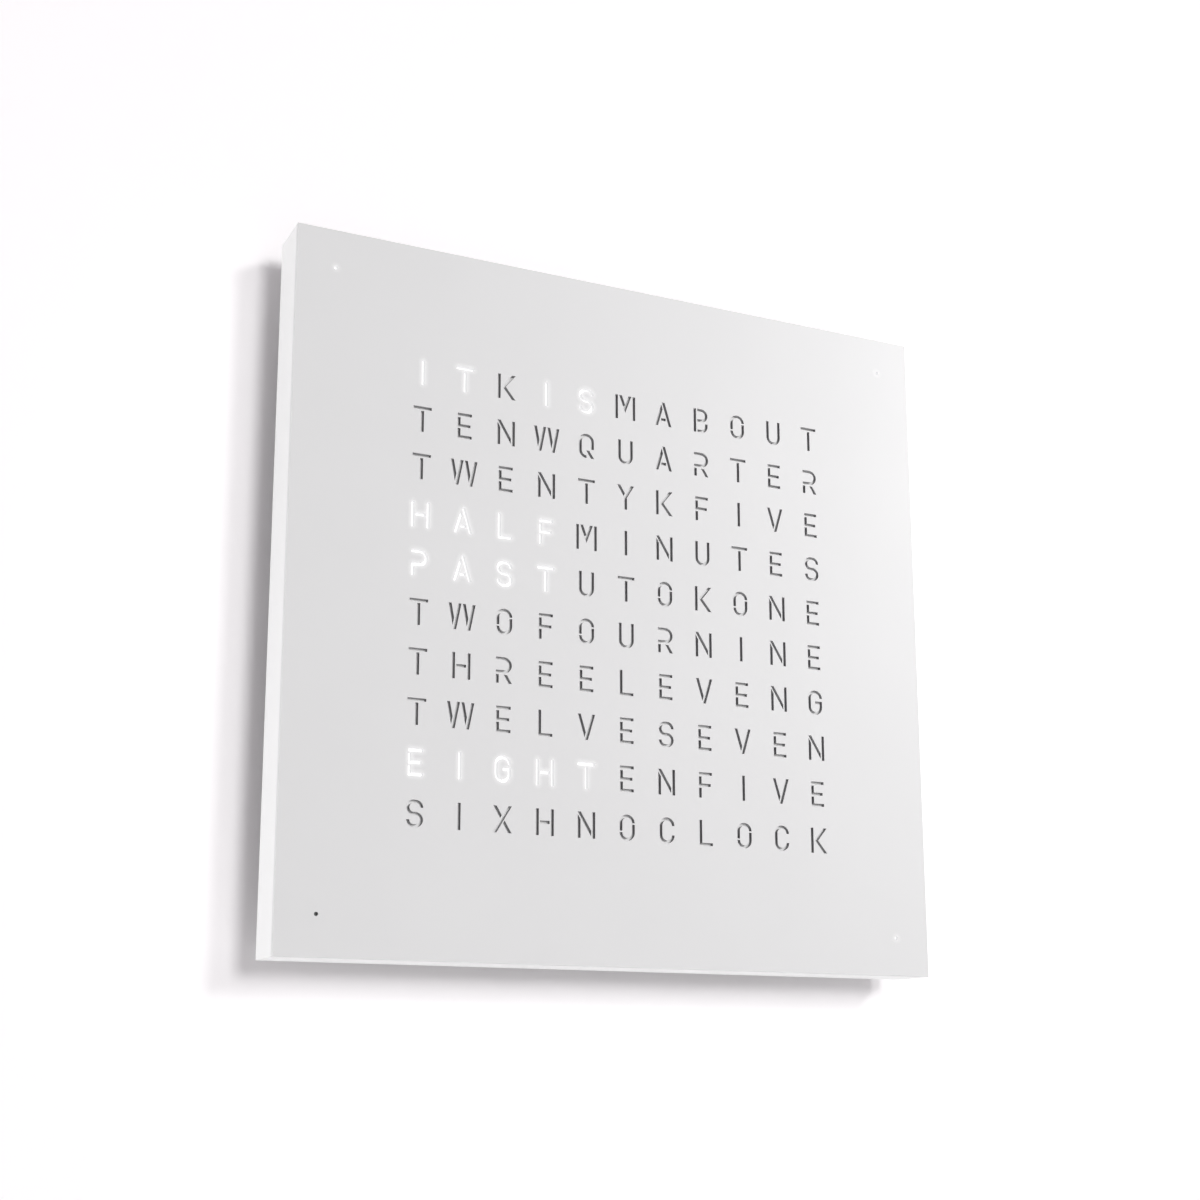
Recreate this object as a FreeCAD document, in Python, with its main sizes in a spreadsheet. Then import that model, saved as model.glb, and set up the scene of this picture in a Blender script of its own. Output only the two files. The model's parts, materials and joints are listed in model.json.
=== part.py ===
import FreeCAD, Part
import math
import os
import re

import Sketcher

# Word clock, 450 mm square, hung on a wall.
#
# Frame: millimetres, +Z up, +X to the right seen from the front. The wall is the plane y = 0 and the
# front faces -Y. The origin is the centre of the flat back that lies on the wall.
# Depths are given as a distance from the wall, "out", so a point at out = 20 has y = -20.

Vector = FreeCAD.Vector
doc = FreeCAD.newDocument("word_clock")

# ---------------------------------------------------------------------------------------------
# Driving dimensions: alias, value in mm (or a count), what it is
# ---------------------------------------------------------------------------------------------
DIMENSIONS = [
    ("face_side", 450, "side of the square front"),
    ("slab_depth", 35, "depth of the slab, cover and shell together"),
    ("wall_gap", 22, "how far the slab floats off the wall"),
    ("cover_thick", 3, "thickness of the front cover plate"),
    ("edge_round", 0.4, "rounding of the cover's front edges"),
    ("column_count", 11, "letters in a row"),
    ("row_count", 10, "rows of letters"),
    ("column_pitch", 28.25, "centre to centre of the columns"),
    ("row_pitch", 31, "centre to centre of the rows"),
    ("matrix_rise", 1.5, "height of the matrix centre above the face centre"),
    ("letter_height", 16.6, "height of the capitals"),
    ("letter_stroke", 1.9, "width of a stencil stroke"),
    ("letter_bridge", 0.9, "land left between two strokes"),
    ("letter_slim", 9.6, "width of E, F and L"),
    ("letter_round", 10.6, "width of the round letters"),
    ("letter_wide", 12, "width of the wide letters"),
    ("letter_broad", 14.6, "width of the M"),
    ("letter_double", 17.8, "width of the W"),
    ("dot_inset", 25, "corner dot to the edge of the face"),
    ("dot_hole", 2.5, "diameter of the corner dots"),
    ("shell_wall", 3, "side walls of the shell"),
    ("shell_floor", 3, "rear wall of the shell"),
    ("air_gap", 0.3, "play between pieces that come apart or move"),
    ("magnet_dia", 8, "diameter of a magnet"),
    ("magnet_thick", 3, "thickness of a magnet"),
    ("keeper_dia", 10, "diameter of a steel keeper disc"),
    ("keeper_thick", 1.5, "thickness of a keeper disc"),
    ("post_side", 11, "side of the posts that carry magnets and pin holes"),
    ("magnet_spread", 70, "side magnets, height from the middle"),
    ("pin_dia", 4, "diameter of a locating pin"),
    ("pin_length", 8, "length of a locating pin"),
    ("pin_play", 0.3, "radial play of a locating pin in its hole"),
    ("carrier_clear", 2, "carrier plate to the magnet posts"),
    ("carrier_thick", 1.5, "thickness of the carrier plate"),
    ("carrier_post", 6, "height of the posts under the carrier plate"),
    ("carrier_post_dia", 9, "diameter of those posts"),
    ("carrier_post_inset", 17, "side posts to the carrier plate's edge"),
    ("carrier_corner_inset", 14, "corner posts to the middle of the corner lights"),
    ("strip_height", 12, "height of an LED strip"),
    ("strip_thick", 1, "thickness of a strip or corner board"),
    ("strip_margin", 8, "strip beyond its last LED"),
    ("led_side", 5, "side of an LED package"),
    ("led_thick", 1.6, "height of an LED package"),
    ("grid_margin", 2, "rim of the grid outside the outer chambers"),
    ("grid_web", 1.6, "wall between two light chambers"),
    ("diffuser_thick", 1.2, "thickness of the opal diffuser"),
    ("tube_side", 16, "outer side of a corner light tube"),
    ("tube_wall", 1.5, "wall of a corner light tube"),
    ("housing_side", 300, "side of the square rear housing"),
    ("housing_wall", 2.5, "walls of the rear housing"),
    ("housing_boss_dia", 12, "diameter of the housing's screw bosses"),
    ("housing_boss_inset", 14, "screw boss to the housing's edge"),
    ("housing_head_dia", 7, "head of a housing screw"),
    ("housing_head_thick", 3, "height of that head"),
    ("housing_head_sink", 4, "depth of the head below the back face"),
    ("screw_dia", 3, "shank of all M3 screws"),
    ("screw_head_dia", 5.6, "head of the small screws"),
    ("screw_head_thick", 1.8, "height of that head"),
    ("screw_bite", 4, "how deep a small screw goes into its post"),
    ("hanger_inset", 50, "keyholes to the sides of the housing"),
    ("hanger_drop", 40, "keyholes to the top of the housing"),
    ("hanger_width", 60, "width of a hanger plate"),
    ("hanger_height", 34, "height of a hanger plate"),
    ("hanger_thick", 1.5, "thickness of a hanger plate"),
    ("hanger_screw_spread", 23, "hanger screw to the plate's middle"),
    ("window_width", 20, "width of the opening around a keyhole"),
    ("window_height", 26, "height of that opening"),
    ("keyhole_entry", 9.5, "diameter of the keyhole's entry"),
    ("keyhole_slot", 5, "width of the keyhole's slot"),
    ("keyhole_run", 9, "height of the slot above the entry's centre"),
    ("board_width", 120, "width of the controller board"),
    ("board_height", 78, "height of the controller board"),
    ("board_thick", 1.6, "thickness of a circuit board"),
    ("board_post", 5.5, "height of the posts under the controller board"),
    ("board_post_dia", 7, "diameter of those posts"),
    ("board_hole_inset", 5, "board screw to the board's edge"),
    ("inlet_width", 9, "width of the power inlet"),
    ("inlet_height", 11, "height of the power inlet off the board"),
    ("inlet_length", 14, "length of the power inlet"),
    ("inlet_bore", 6.4, "bore of the power inlet"),
    ("inlet_bore_depth", 9.5, "depth of that bore"),
    ("inlet_pin", 2.1, "centre pin of the power inlet"),
    ("inlet_side", 40, "power inlet to the middle of the board"),
    ("button_dia", 7, "diameter of a button"),
    ("button_flange", 9.4, "flange that keeps a button in"),
    ("button_flange_thick", 1.2, "thickness of the flange"),
    ("button_proud", 0.8, "how far a button stands out of the wall"),
    ("button_travel", 1, "travel of a button"),
    ("button_stem", 3, "stem that works the switch"),
    ("button_spacing", 15, "centre to centre of the buttons"),
    ("button_rise", 85, "middle button above the lower edge of the face"),
    ("button_play", 0.3, "radial play of a button in its hole"),
    ("button_board_width", 13, "depth of the button board"),
    ("button_board_length", 56, "length of the button board"),
    ("button_board_gap", 7, "button board to the side wall"),
    ("switch_side", 6, "side of a switch"),
    ("switch_thick", 3.5, "height of a switch"),
    ("ribbon_width", 14, "width of the ribbon cable"),
    ("ribbon_thick", 0.9, "thickness of the ribbon cable"),
    ("ribbon_bend", 5, "bend radius of the ribbon cable"),
    ("lead_dia", 2.4, "diameter of the button lead"),
    ("lead_bend", 5, "bend radius of the button lead"),
    ("lead_step", 14, "button lead above the middle button"),
    ("lead_board_step", 23, "button lead above the middle of the controller board"),
    ("lead_turn", 12, "where the lead goes through the shell, beyond the controller board"),
    ("cable_window_drop", 30, "ribbon window below the face centre"),
    ("cable_window_side", 12, "clear width of the windows for the cables"),
    ("overshoot", 1, "how far a cutting tool reaches past the face it cuts"),
    ("pin_room", 1, "depth left free below a locating pin"),
    ("jumper_width", 2, "width of a strip jumper"),
    ("jumper_inset", 3, "jumper's middle to the end of its strips"),
    ("sensor_side", 2, "side of the light sensor"),
    ("sensor_thick", 0.7, "height of the light sensor"),
    ("sensor_shift", 8, "light sensor beside its LED"),
    ("hanger_bite", 2, "how deep a hanger screw goes into the housing's back"),
    ("mcu_side", 14, "side of the microcontroller"),
    ("mcu_thick", 1.6, "height of the microcontroller"),
    ("mcu_left", 12, "microcontroller, left of the board's middle"),
    ("mcu_rise", 6, "microcontroller above the board's middle"),
    ("rtc_width", 7.5, "width of the clock chip"),
    ("rtc_height", 10.3, "length of the clock chip"),
    ("rtc_thick", 2.4, "height of the clock chip"),
    ("rtc_left", 40, "clock chip, left of the board's middle"),
    ("rtc_rise", 8, "clock chip above the board's middle"),
    ("regulator_width", 10, "width of the voltage regulator"),
    ("regulator_height", 9, "length of the voltage regulator"),
    ("regulator_thick", 4.5, "height of the voltage regulator"),
    ("regulator_right", 38, "voltage regulator, right of the board's middle"),
    ("regulator_drop", 8, "voltage regulator below the board's middle"),
    ("crystal_width", 11, "length of the quartz crystal"),
    ("crystal_height", 4.5, "width of the quartz crystal"),
    ("crystal_thick", 3.5, "height of the quartz crystal"),
    ("crystal_drop", 10, "quartz crystal below the board's middle"),
    ("cell_dia", 20, "diameter of the backup cell"),
    ("cell_thick", 3.2, "thickness of the backup cell"),
    ("cell_lift", 1, "backup cell over the board"),
    ("cell_left", 36, "backup cell, left of the board's middle"),
    ("cell_drop", 18, "backup cell below the board's middle"),
    ("holder_side", 24, "side of the cell holder"),
    ("holder_thick", 5, "height of the cell holder"),
    ("capacitor_dia", 8, "diameter of a capacitor"),
    ("capacitor_height", 10, "height of a capacitor"),
    ("capacitor_right", 12, "first capacitor, right of the board's middle"),
    ("capacitor_spacing", 10, "centre to centre of the capacitors"),
    ("capacitor_drop", 6, "capacitors below the board's middle"),
    ("inlet_pin_inset", 1, "tip of the inlet's centre pin below its mouth"),
    ("plug_margin", 1.5, "ribbon plug beyond the ribbon, each side"),
    ("plug_height", 6, "height of a ribbon plug"),
    ("plug_thick", 6, "how far the lower ribbon plug stands off its board"),
    ("plug_low_rise", 32, "lower ribbon plug above the board's middle"),
    ("plug_high_rise", 13, "upper ribbon plug above the face centre"),
    ("plug_high_thick", 4, "how far the upper ribbon plug stands off the carrier plate"),
    ("ribbon_lift", 3, "ribbon over the controller board"),
    ("ribbon_level", 2, "ribbon below the carrier plate"),
    ("lead_plug_length", 8, "length of the lead's plug on the controller board"),
    ("lead_plug_width", 6, "width of that plug"),
    ("lead_plug_thick", 5, "height of that plug"),
    ("side_plug_side", 4, "side of the lead's plug on the button board"),
    ("side_plug_lift", 1, "that plug above the shell's rear wall"),
    ("button_board_lift", 1, "button board above the shell's rear wall"),
    ("button_screw_spread", 23.25, "button board screw to the middle button"),
    ("stem_entry", 0.5, "how deep a button's stem rests in its switch"),
]
ALIASES = {alias for alias, value, note in DIMENSIONS}

sheet = doc.addObject("Spreadsheet::Sheet", "dims")
for line, (alias, value, note) in enumerate(DIMENSIONS, start=1):
    sheet.set(f"A{line}", alias)
    sheet.set(f"B{line}", str(value))
    sheet.set(f"C{line}", note)
    sheet.setAlias(f"B{line}", alias)
doc.recompute()

# Derived places, written once as formulas of the driving dimensions. All are "out" distances from the
# wall unless their comment says otherwise.
FORMULAS = {
    "shell_back": "wall_gap",
    "shell_inside": "(wall_gap + shell_floor)",
    "cover_back": "(wall_gap + slab_depth - cover_thick)",
    "cover_front": "(wall_gap + slab_depth)",
    "carrier_back": "(wall_gap + shell_floor + carrier_post)",
    "carrier_front": "(wall_gap + shell_floor + carrier_post + carrier_thick)",
    "strip_front": "(wall_gap + shell_floor + carrier_post + carrier_thick + strip_thick)",
    "diffuser_front": "(wall_gap + slab_depth - cover_thick - air_gap)",
    "diffuser_back": "(wall_gap + slab_depth - cover_thick - air_gap - diffuser_thick)",
    "half_face": "(face_side / 2)",
    "shell_inner": "(face_side / 2 - shell_wall)",
    "post_centre": "(face_side / 2 - shell_wall - post_side / 2)",
    "dot_place": "(face_side / 2 - dot_inset)",
    "board_back": "(housing_wall + board_post)",
    "board_front": "(housing_wall + board_post + board_thick)",
    "board_middle": "(housing_wall + air_gap + board_height / 2 - housing_side / 2)",
    "carrier_half": "(face_side / 2 - shell_wall - post_side - carrier_clear)",
    "hanger_x": "(housing_side / 2 - hanger_inset)",
    "hanger_z": "(housing_side / 2 - hanger_drop)",
    "button_middle": "(button_rise - face_side / 2)",
    "lead_x": "(board_width / 2 + lead_turn)",
    "lead_height": "(button_rise - face_side / 2 + lead_step)",
    "cell_place": "(housing_wall + air_gap + board_height / 2 - housing_side / 2 - cell_drop)",
    "lead_board": "(housing_wall + air_gap + board_height / 2 - housing_side / 2 + lead_board_step)",
}


def expand(text):
    """Turns a formula's own names and the aliases into a FreeCAD expression on the sheet."""
    words = re.sub(r"[a-z_]+", lambda word: FORMULAS.get(word.group(0), word.group(0)), text)
    return re.sub(r"[a-z_]+",
                  lambda word: "dims." + word.group(0) if word.group(0) in ALIASES else word.group(0),
                  words)


def size(text):
    """The value of a formula as a number, for shapes that are made by Part's own functions."""
    words = re.sub(r"[a-z_]+", lambda word: FORMULAS.get(word.group(0), word.group(0)), text)
    sheet.set("E1", "=" + words)
    sheet.recompute()
    return float(sheet.get("E1"))


# ---------------------------------------------------------------------------------------------
# Helpers: primitives that are bound to the sheet
# ---------------------------------------------------------------------------------------------
nodes = {}


def bind(item, **formulas):
    """Binds properties to formulas. In a keyword, two underscores stand for a dot."""
    for prop, text in formulas.items():
        item.setExpression(prop.replace("__", "."), expand(text))
    return item


def node(label, item):
    """Marks an object as a sub-part: its label is the name of the part's file."""
    item.Label = label
    nodes[label] = item
    return item


def block(name, x, out, z):
    """A box from x[0] to x[1], out[0] to out[1] off the wall, and z[0] to z[1]."""
    box = doc.addObject("Part::Box", name)
    return bind(box,
                Length=f"({x[1]}) - ({x[0]})",
                Width=f"({out[1]}) - ({out[0]})",
                Height=f"({z[1]}) - ({z[0]})",
                Placement__Base__x=x[0],
                Placement__Base__y=f"-({out[1]})",
                Placement__Base__z=z[0])


def tile(name, x, z, width, height, out):
    """A box centred on x and z."""
    return block(name,
                 (f"{x} - ({width}) / 2", f"{x} + ({width}) / 2"),
                 out,
                 (f"{z} - ({height}) / 2", f"{z} + ({height}) / 2"))


def rod(name, x, z, out, diameter):
    """A cylinder that stands on the wall plane's normal."""
    bar = doc.addObject("Part::Cylinder", name)
    bar.Placement.Rotation = FreeCAD.Rotation(Vector(1, 0, 0), 90)
    return bind(bar,
                Radius=f"({diameter}) / 2",
                Height=f"({out[1]}) - ({out[0]})",
                Placement__Base__x=x,
                Placement__Base__y=f"-({out[0]})",
                Placement__Base__z=z)


def side_rod(name, x, out, z, diameter):
    """A cylinder along X, from x[0] to x[1]."""
    bar = doc.addObject("Part::Cylinder", name)
    bar.Placement.Rotation = FreeCAD.Rotation(Vector(0, 1, 0), 90)
    return bind(bar,
                Radius=f"({diameter}) / 2",
                Height=f"({x[1]}) - ({x[0]})",
                Placement__Base__x=x[0],
                Placement__Base__y=f"-({out})",
                Placement__Base__z=z)


def upright_rod(name, x, out, z, diameter):
    """A cylinder along Z, from z[0] to z[1]."""
    bar = doc.addObject("Part::Cylinder", name)
    return bind(bar,
                Radius=f"({diameter}) / 2",
                Height=f"({z[1]}) - ({z[0]})",
                Placement__Base__x=x,
                Placement__Base__y=f"-({out})",
                Placement__Base__z=z[0])


def fuse(name, items):
    joined = doc.addObject("Part::MultiFuse", name)
    joined.Shapes = items
    return joined


def group(name, items):
    """Separate solids that share one node."""
    together = doc.addObject("Part::Compound", name)
    together.Links = items
    return together


def cut(name, base, tools):
    """Takes the tools, which don't touch each other, out of the base."""
    result = doc.addObject("Part::Cut", name)
    result.Base = base
    result.Tool = group(name + "_tools", tools) if len(tools) > 1 else tools[0]
    return result


def origin_plane(body, role):
    return [feature for feature in body.Origin.OriginFeatures if feature.Role == role][0]


def face_sketch(body, name, out):
    """A sketch parallel to the wall: its x is X and its y is Z, and it pads away from the wall."""
    sketch = body.newObject("Sketcher::SketchObject", name)
    sketch.AttachmentSupport = [(origin_plane(body, "XZ_Plane"), "")]
    sketch.MapMode = "FlatFace"
    return bind(sketch, AttachmentOffset__Base__z=out)


def sketch_box(sketch, x, z):
    """A rectangle in a sketch, its four sides placed by formulas."""
    first = sketch.GeometryCount
    corners = [Vector(-1, -1, 0), Vector(1, -1, 0), Vector(1, 1, 0), Vector(-1, 1, 0)]
    for index in range(4):
        sketch.addGeometry(Part.LineSegment(corners[index], corners[(index + 1) % 4]), False)
    for index in range(4):
        following = first + (index + 1) % 4
        sketch.addConstraint(Sketcher.Constraint("Coincident", first + index, 2, following, 1))
    for index, way in enumerate(["Horizontal", "Vertical", "Horizontal", "Vertical"]):
        sketch.addConstraint(Sketcher.Constraint(way, first + index))
    for way, corner, text in [("DistanceX", 0, x[0]), ("DistanceY", 0, z[0]),
                              ("DistanceX", 2, x[1]), ("DistanceY", 2, z[1])]:
        start = -1 if corner == 0 else 1
        number = sketch.addConstraint(Sketcher.Constraint(way, -1, 1, first + corner, 1, start))
        sketch.setExpression(f"Constraints[{number}]", expand(text))


def sketch_circle(sketch, x, z, diameter):
    first = sketch.addGeometry(Part.Circle(Vector(0, 0, 0), Vector(0, 0, 1), 1), False)
    for way, text in [("DistanceX", x), ("DistanceY", z)]:
        number = sketch.addConstraint(Sketcher.Constraint(way, -1, 1, first, 3, 0))
        sketch.setExpression(f"Constraints[{number}]", expand(text))
    number = sketch.addConstraint(Sketcher.Constraint("Diameter", first, 1))
    sketch.setExpression(f"Constraints[{number}]", expand(diameter))


def pad(body, name, sketch, length):
    feature = body.newObject("PartDesign::Pad", name)
    feature.Profile = sketch
    return bind(feature, Length=length)


def pocket(body, name, sketch, length):
    """A pocket cuts back towards the wall from its sketch."""
    feature = body.newObject("PartDesign::Pocket", name)
    feature.Profile = sketch
    return bind(feature, Length=length)


def column_place(column):
    """x of a column, counted from 0 at the left."""
    return f"({column} - (column_count - 1) / 2) * column_pitch"


def row_place(row):
    """z of a row, counted from 0 at the top."""
    return f"matrix_rise + ((row_count - 1) / 2 - {row}) * row_pitch"


CORNERS = [(-1, -1), (1, -1), (1, 1), (-1, 1)]
COLUMNS = range(int(size("column_count")))
ROWS = range(int(size("row_count")))

# ---------------------------------------------------------------------------------------------
# Letters: strokes with flat ends, joined by sharp or rounded corners
# ---------------------------------------------------------------------------------------------
LETTER_ROWS = [
    "ITKISMABOUT",
    "TENWQUARTER",
    "TWENTYKFIVE",
    "HALFMINUTES",
    "PASTUTOKONE",
    "TWOFOURNINE",
    "THREELEVENG",
    "TWELVESEVEN",
    "EIGHTENFIVE",
    "SIXHNOCLOCK",
]
LETTER_WIDTHS = {
    "letter_stroke": "I",
    "letter_slim": "EFL",
    "letter_round": "BCGOPQRSU",
    "letter_wide": "AHKNTVXY",
    "letter_broad": "M",
    "letter_double": "W",
}


def letter_width(letter):
    names = [name for name, letters in LETTER_WIDTHS.items() if letter in letters]
    return size(names[0])


def corner_arc(before, corner, after, radius):
    """Start, middle and end of the arc that rounds a corner of an outline."""
    to_before = (before - corner).normalize()
    to_after = (after - corner).normalize()
    half_angle = to_before.getAngle(to_after) / 2
    reach = radius / math.tan(half_angle)
    centre = corner + (to_before + to_after).normalize() * (radius / math.sin(half_angle))
    middle = centre + (corner - centre).normalize() * radius
    return corner + to_before * reach, middle, corner + to_after * reach


def rounded_loop(points, radii):
    """A closed wire through the points, each corner rounded by its own radius."""
    edges = []
    cursor = None
    first = None
    count = len(points)
    for index in range(count):
        corner = points[index]
        if radii[index] > 0:
            start, middle, end = corner_arc(points[index - 1], corner, points[(index + 1) % count],
                                            radii[index])
        else:
            start, middle, end = corner, None, corner
        if cursor is not None and (start - cursor).Length > 1e-6:
            edges.append(Part.LineSegment(cursor, start).toShape())
        if middle is not None:
            edges.append(Part.Arc(start, middle, end).toShape())
        cursor = end
        first = start if first is None else first
    if (first - cursor).Length > 1e-6:
        edges.append(Part.LineSegment(cursor, first).toShape())
    return Part.Wire(edges)


def crossing(point, along, other, across):
    """Where the line through point meets the line through other, in the XZ plane."""
    spread = along.x * across.z - along.z * across.x
    reach = ((other.x - point.x) * across.z - (other.z - point.z) * across.x) / spread
    return point + along * reach


def stroke_loop(path, width):
    """The outline of a stroke along path, a list of (x, z, corner radius).

    At an end the third value is the lean of the end's cut, sideways for each mm of height. With 0 it is
    cut level where the stroke is steep, and plumb where it is not."""
    half = width / 2
    points = [Vector(x, 0, z) for x, z, radius in path]
    ways = [(points[index + 1] - points[index]).normalize() for index in range(len(points) - 1)]
    level, plumb = Vector(1, 0, 0), Vector(0, 0, 1)
    sides = []
    for side in (1, -1):
        shifts = [Vector(-way.z, 0, way.x) * (half * side) for way in ways]
        lines = [(points[index] + shifts[index], ways[index]) for index in range(len(ways))]
        row = []
        for index, point in enumerate(points):
            if index in (0, len(points) - 1):
                line = lines[0] if index == 0 else lines[-1]
                end_cut = level if abs(line[1].z) > abs(line[1].x) else plumb
                if path[index][2] != 0:
                    end_cut = Vector(path[index][2], 0, 1)
                row.append((crossing(line[0], line[1], point, end_cut), 0))
                continue
            corner = crossing(*lines[index - 1], *lines[index])
            turn = ways[index - 1].x * ways[index].z - ways[index - 1].z * ways[index].x
            inner = turn * side > 0
            centre_radius = path[index][2]
            radius = max(centre_radius - half, 0) if inner else centre_radius + half
            row.append((corner, radius if centre_radius > 0 else 0))
        sides.append(row)
    ring = sides[0] + sides[1][::-1]
    return rounded_loop([point for point, radius in ring], [radius for point, radius in ring])


NEARLY_PLUMB = 1e-6
DASH_HEIGHT = 0.27  # where the dash of the A stands, as a share of the letter's height


def letter_paths(letter, width, height, stroke, bridge):
    """The stroke paths of one stencil capital, from its lower left corner."""
    half = stroke / 2
    gap = half + bridge
    left, right, low, high = half, width - half, half, height - half
    centre, middle = width / 2, height / 2
    bend = centre - half
    small_bend = (high - middle) / 2
    if letter == "I":
        return [[(centre, 0, 0), (centre, height, 0)]]
    if letter == "T":
        return [[(0, high, 0), (width, high, 0)], [(centre, 0, 0), (centre, high - gap, 0)]]
    if letter == "L":
        return [[(left, height, 0), (left, low, 0), (width, low, 0)]]
    if letter in "EF":
        arm = width - half
        upper = [[(0, high, 0), (width, high, 0)],
                 [(left, high - gap, 0), (left, middle, 0), (arm, middle, 0)]]
        if letter == "F":
            return upper + [[(left, middle - gap, 0), (left, 0, 0)]]
        return upper + [[(left, middle - gap, 0), (left, low, 0), (width, low, 0)]]
    if letter == "H":
        return [[(left, 0, 0), (left, height, 0)], [(right, 0, 0), (right, height, 0)],
                [(left + gap, middle, 0), (right - gap, middle, 0)]]
    # A sloping leg: half its width along the level, and how far it leans for each mm of height. A
    # second leg stops a bridge short of it and is cut along it.
    slope = math.hypot(1, (centre - half) / height)
    foot = half * slope
    lean = (centre - foot) / height
    near = (width - 3 * foot - bridge * slope) / (2 * lean)
    if letter == "K":
        tip = stroke + bridge + half * math.hypot(1, (width - stroke) / middle)
        return [[(left, 0, 0), (left, height, 0)],
                [(width - foot, height, 0), (tip, middle, 0), (width - foot, 0, 0)]]
    if letter == "U":
        return [[(left, height, 0), (left, low, bend), (right, low, bend), (right, height, 0)]]
    if letter == "C":
        return [[(right, high - bend, 0), (right, high, bend), (left, high, bend),
                 (left, low, bend), (right, low, bend), (right, low + bend, 0)]]
    if letter == "G":
        return [[(right, high - bend, 0), (right, high, bend), (left, high, bend),
                 (left, low, bend), (right, low, bend), (right, middle, 0), (centre, middle, 0)]]
    if letter == "S":
        return [[(right, high - small_bend, 0), (right, high, small_bend),
                 (left, high, small_bend), (left, middle, small_bend),
                 (right, middle, small_bend), (right, low, small_bend),
                 (left, low, small_bend), (left, low + small_bend, 0)]]
    if letter == "O":
        upper_end = high - bend
        lower_end = low + bend
        return [[(right, upper_end, 0), (right, high, bend), (left, high, bend),
                 (left, lower_end + bridge, 0)],
                [(left, lower_end, 0), (left, low, bend), (right, low, bend),
                 (right, upper_end - bridge, 0)]]
    if letter == "Q":
        tail = centre + gap
        return [[(right, low + bend + bridge, 0), (right, high, bend), (left, high, bend),
                 (left, low, bend), (centre, low, 0)],
                [(tail - half, low + bend, 0), (width - half, 0, 0)]]
    if letter in "PR":
        bowl_low = middle - half
        bowl_bend = (high - bowl_low) / 2
        bowl = [(0, high, 0), (right, high, bowl_bend), (right, bowl_low, bowl_bend)]
        if letter == "P":
            return [bowl + [(left, bowl_low, 0), (left, 0, 0)]]
        return [bowl + [(0, bowl_low, 0)],
                [(left, bowl_low - gap, 0), (left, 0, 0)],
                [(centre + half, bowl_low - gap, 0), (width - foot, 0, 0)]]
    if letter == "B":
        inner = stroke + bridge
        return [[(left, 0, 0), (left, height, 0)],
                [(inner, high, 0), (right, high, small_bend), (right, middle, small_bend),
                 (inner, middle, 0)],
                [(right, middle - gap, 0), (right, low, small_bend), (inner, low, 0)]]
    if letter == "A":
        dash = height * DASH_HEIGHT
        dash_left = 2 * foot + lean * dash + bridge
        return [[(centre, height, 0), (width - foot, 0, 0)],
                [(foot, 0, 0), (foot + lean * near, near, -lean)],
                [(dash_left, dash, 0), (width - dash_left, dash, 0)]]
    if letter == "V":
        return [[(centre, 0, 0), (width - foot, height, 0)],
                [(foot, height, 0), (foot + lean * near, height - near, lean)]]
    if letter == "W":
        part = (width - bridge) / 2
        left_half = letter_paths("V", part, height, stroke, bridge)
        return left_half + [[(x + part + bridge, z, radius) for x, z, radius in path]
                            for path in left_half]
    if letter == "M":
        shoulder = stroke + bridge + foot
        return [[(left, 0, 0), (left, height, 0)], [(right, 0, 0), (right, height, 0)],
                [(shoulder, height, 0), (centre, middle - half, 0), (width - shoulder, height, 0)]]
    if letter == "N":
        drift = (right - foot) / height
        toe = width - stroke - bridge
        toe_height = height - (toe - foot) / drift
        stem = height - (half + bridge * math.hypot(1, drift)) / drift
        return [[(right, 0, 0), (right, height, 0)],
                [(foot, height, 0), (toe, toe_height, NEARLY_PLUMB)],
                [(left, 0, 0), (left, stem, -drift)]]
    if letter == "X":
        cross_lean = (width - 2 * foot) / height
        cross_near = (width - 3 * foot - bridge * slope) / (2 * cross_lean)
        return [[(foot, 0, 0), (width - foot, height, 0)],
                [(width - foot, 0, 0),
                 (width - foot - cross_lean * cross_near, cross_near, cross_lean)],
                [(foot, height, 0),
                 (foot + cross_lean * cross_near, height - cross_near, cross_lean)]]
    if letter == "Y":
        fork = middle
        arm_lean = (centre - foot) / fork
        arm_near = (width - 3 * foot - bridge * math.hypot(1, arm_lean)) / (2 * arm_lean)
        return [[(width - foot, height, 0), (centre, height - fork, 0), (centre, 0, 0)],
                [(foot, height, 0),
                 (foot + arm_lean * arm_near, height - arm_near, arm_lean)]]
    raise ValueError(f"no paths for the letter {letter}")


def letter_cutters():
    """All letters of the matrix as prisms that reach through the cover."""
    height = size("letter_height")
    stroke = size("letter_stroke")
    bridge = size("letter_bridge")
    through = size("cover_thick + 2 * overshoot")
    front = -size("cover_front + overshoot")
    prisms = []
    for row, letters in enumerate(LETTER_ROWS[:len(ROWS)]):
        for column, letter in enumerate(letters[:len(COLUMNS)]):
            width = letter_width(letter)
            corner = Vector(size(column_place(column)) - width / 2, front,
                            size(row_place(row)) - height / 2)
            for path in letter_paths(letter, width, height, stroke, bridge):
                face = Part.Face(stroke_loop(path, stroke))
                prism = face.extrude(Vector(0, through, 0))
                prism.translate(corner)
                prisms.append(prism)
    return Part.Compound(prisms)


# ---------------------------------------------------------------------------------------------
# Front cover: plate with cut letters and corner dots, keeper discs and locating pins on its back
# ---------------------------------------------------------------------------------------------
cover_plate = tile("cover_plate", "0", "0", "face_side", "face_side", ("cover_back", "cover_front"))
doc.recompute()


def edges_on_plane(shape, place):
    """Numbers of the edges that lie wholly at one y."""
    return [number for number, edge in enumerate(shape.Edges, start=1)
            if all(abs(vertex.Point.y - place) < 1e-6 for vertex in edge.Vertexes)]


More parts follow.
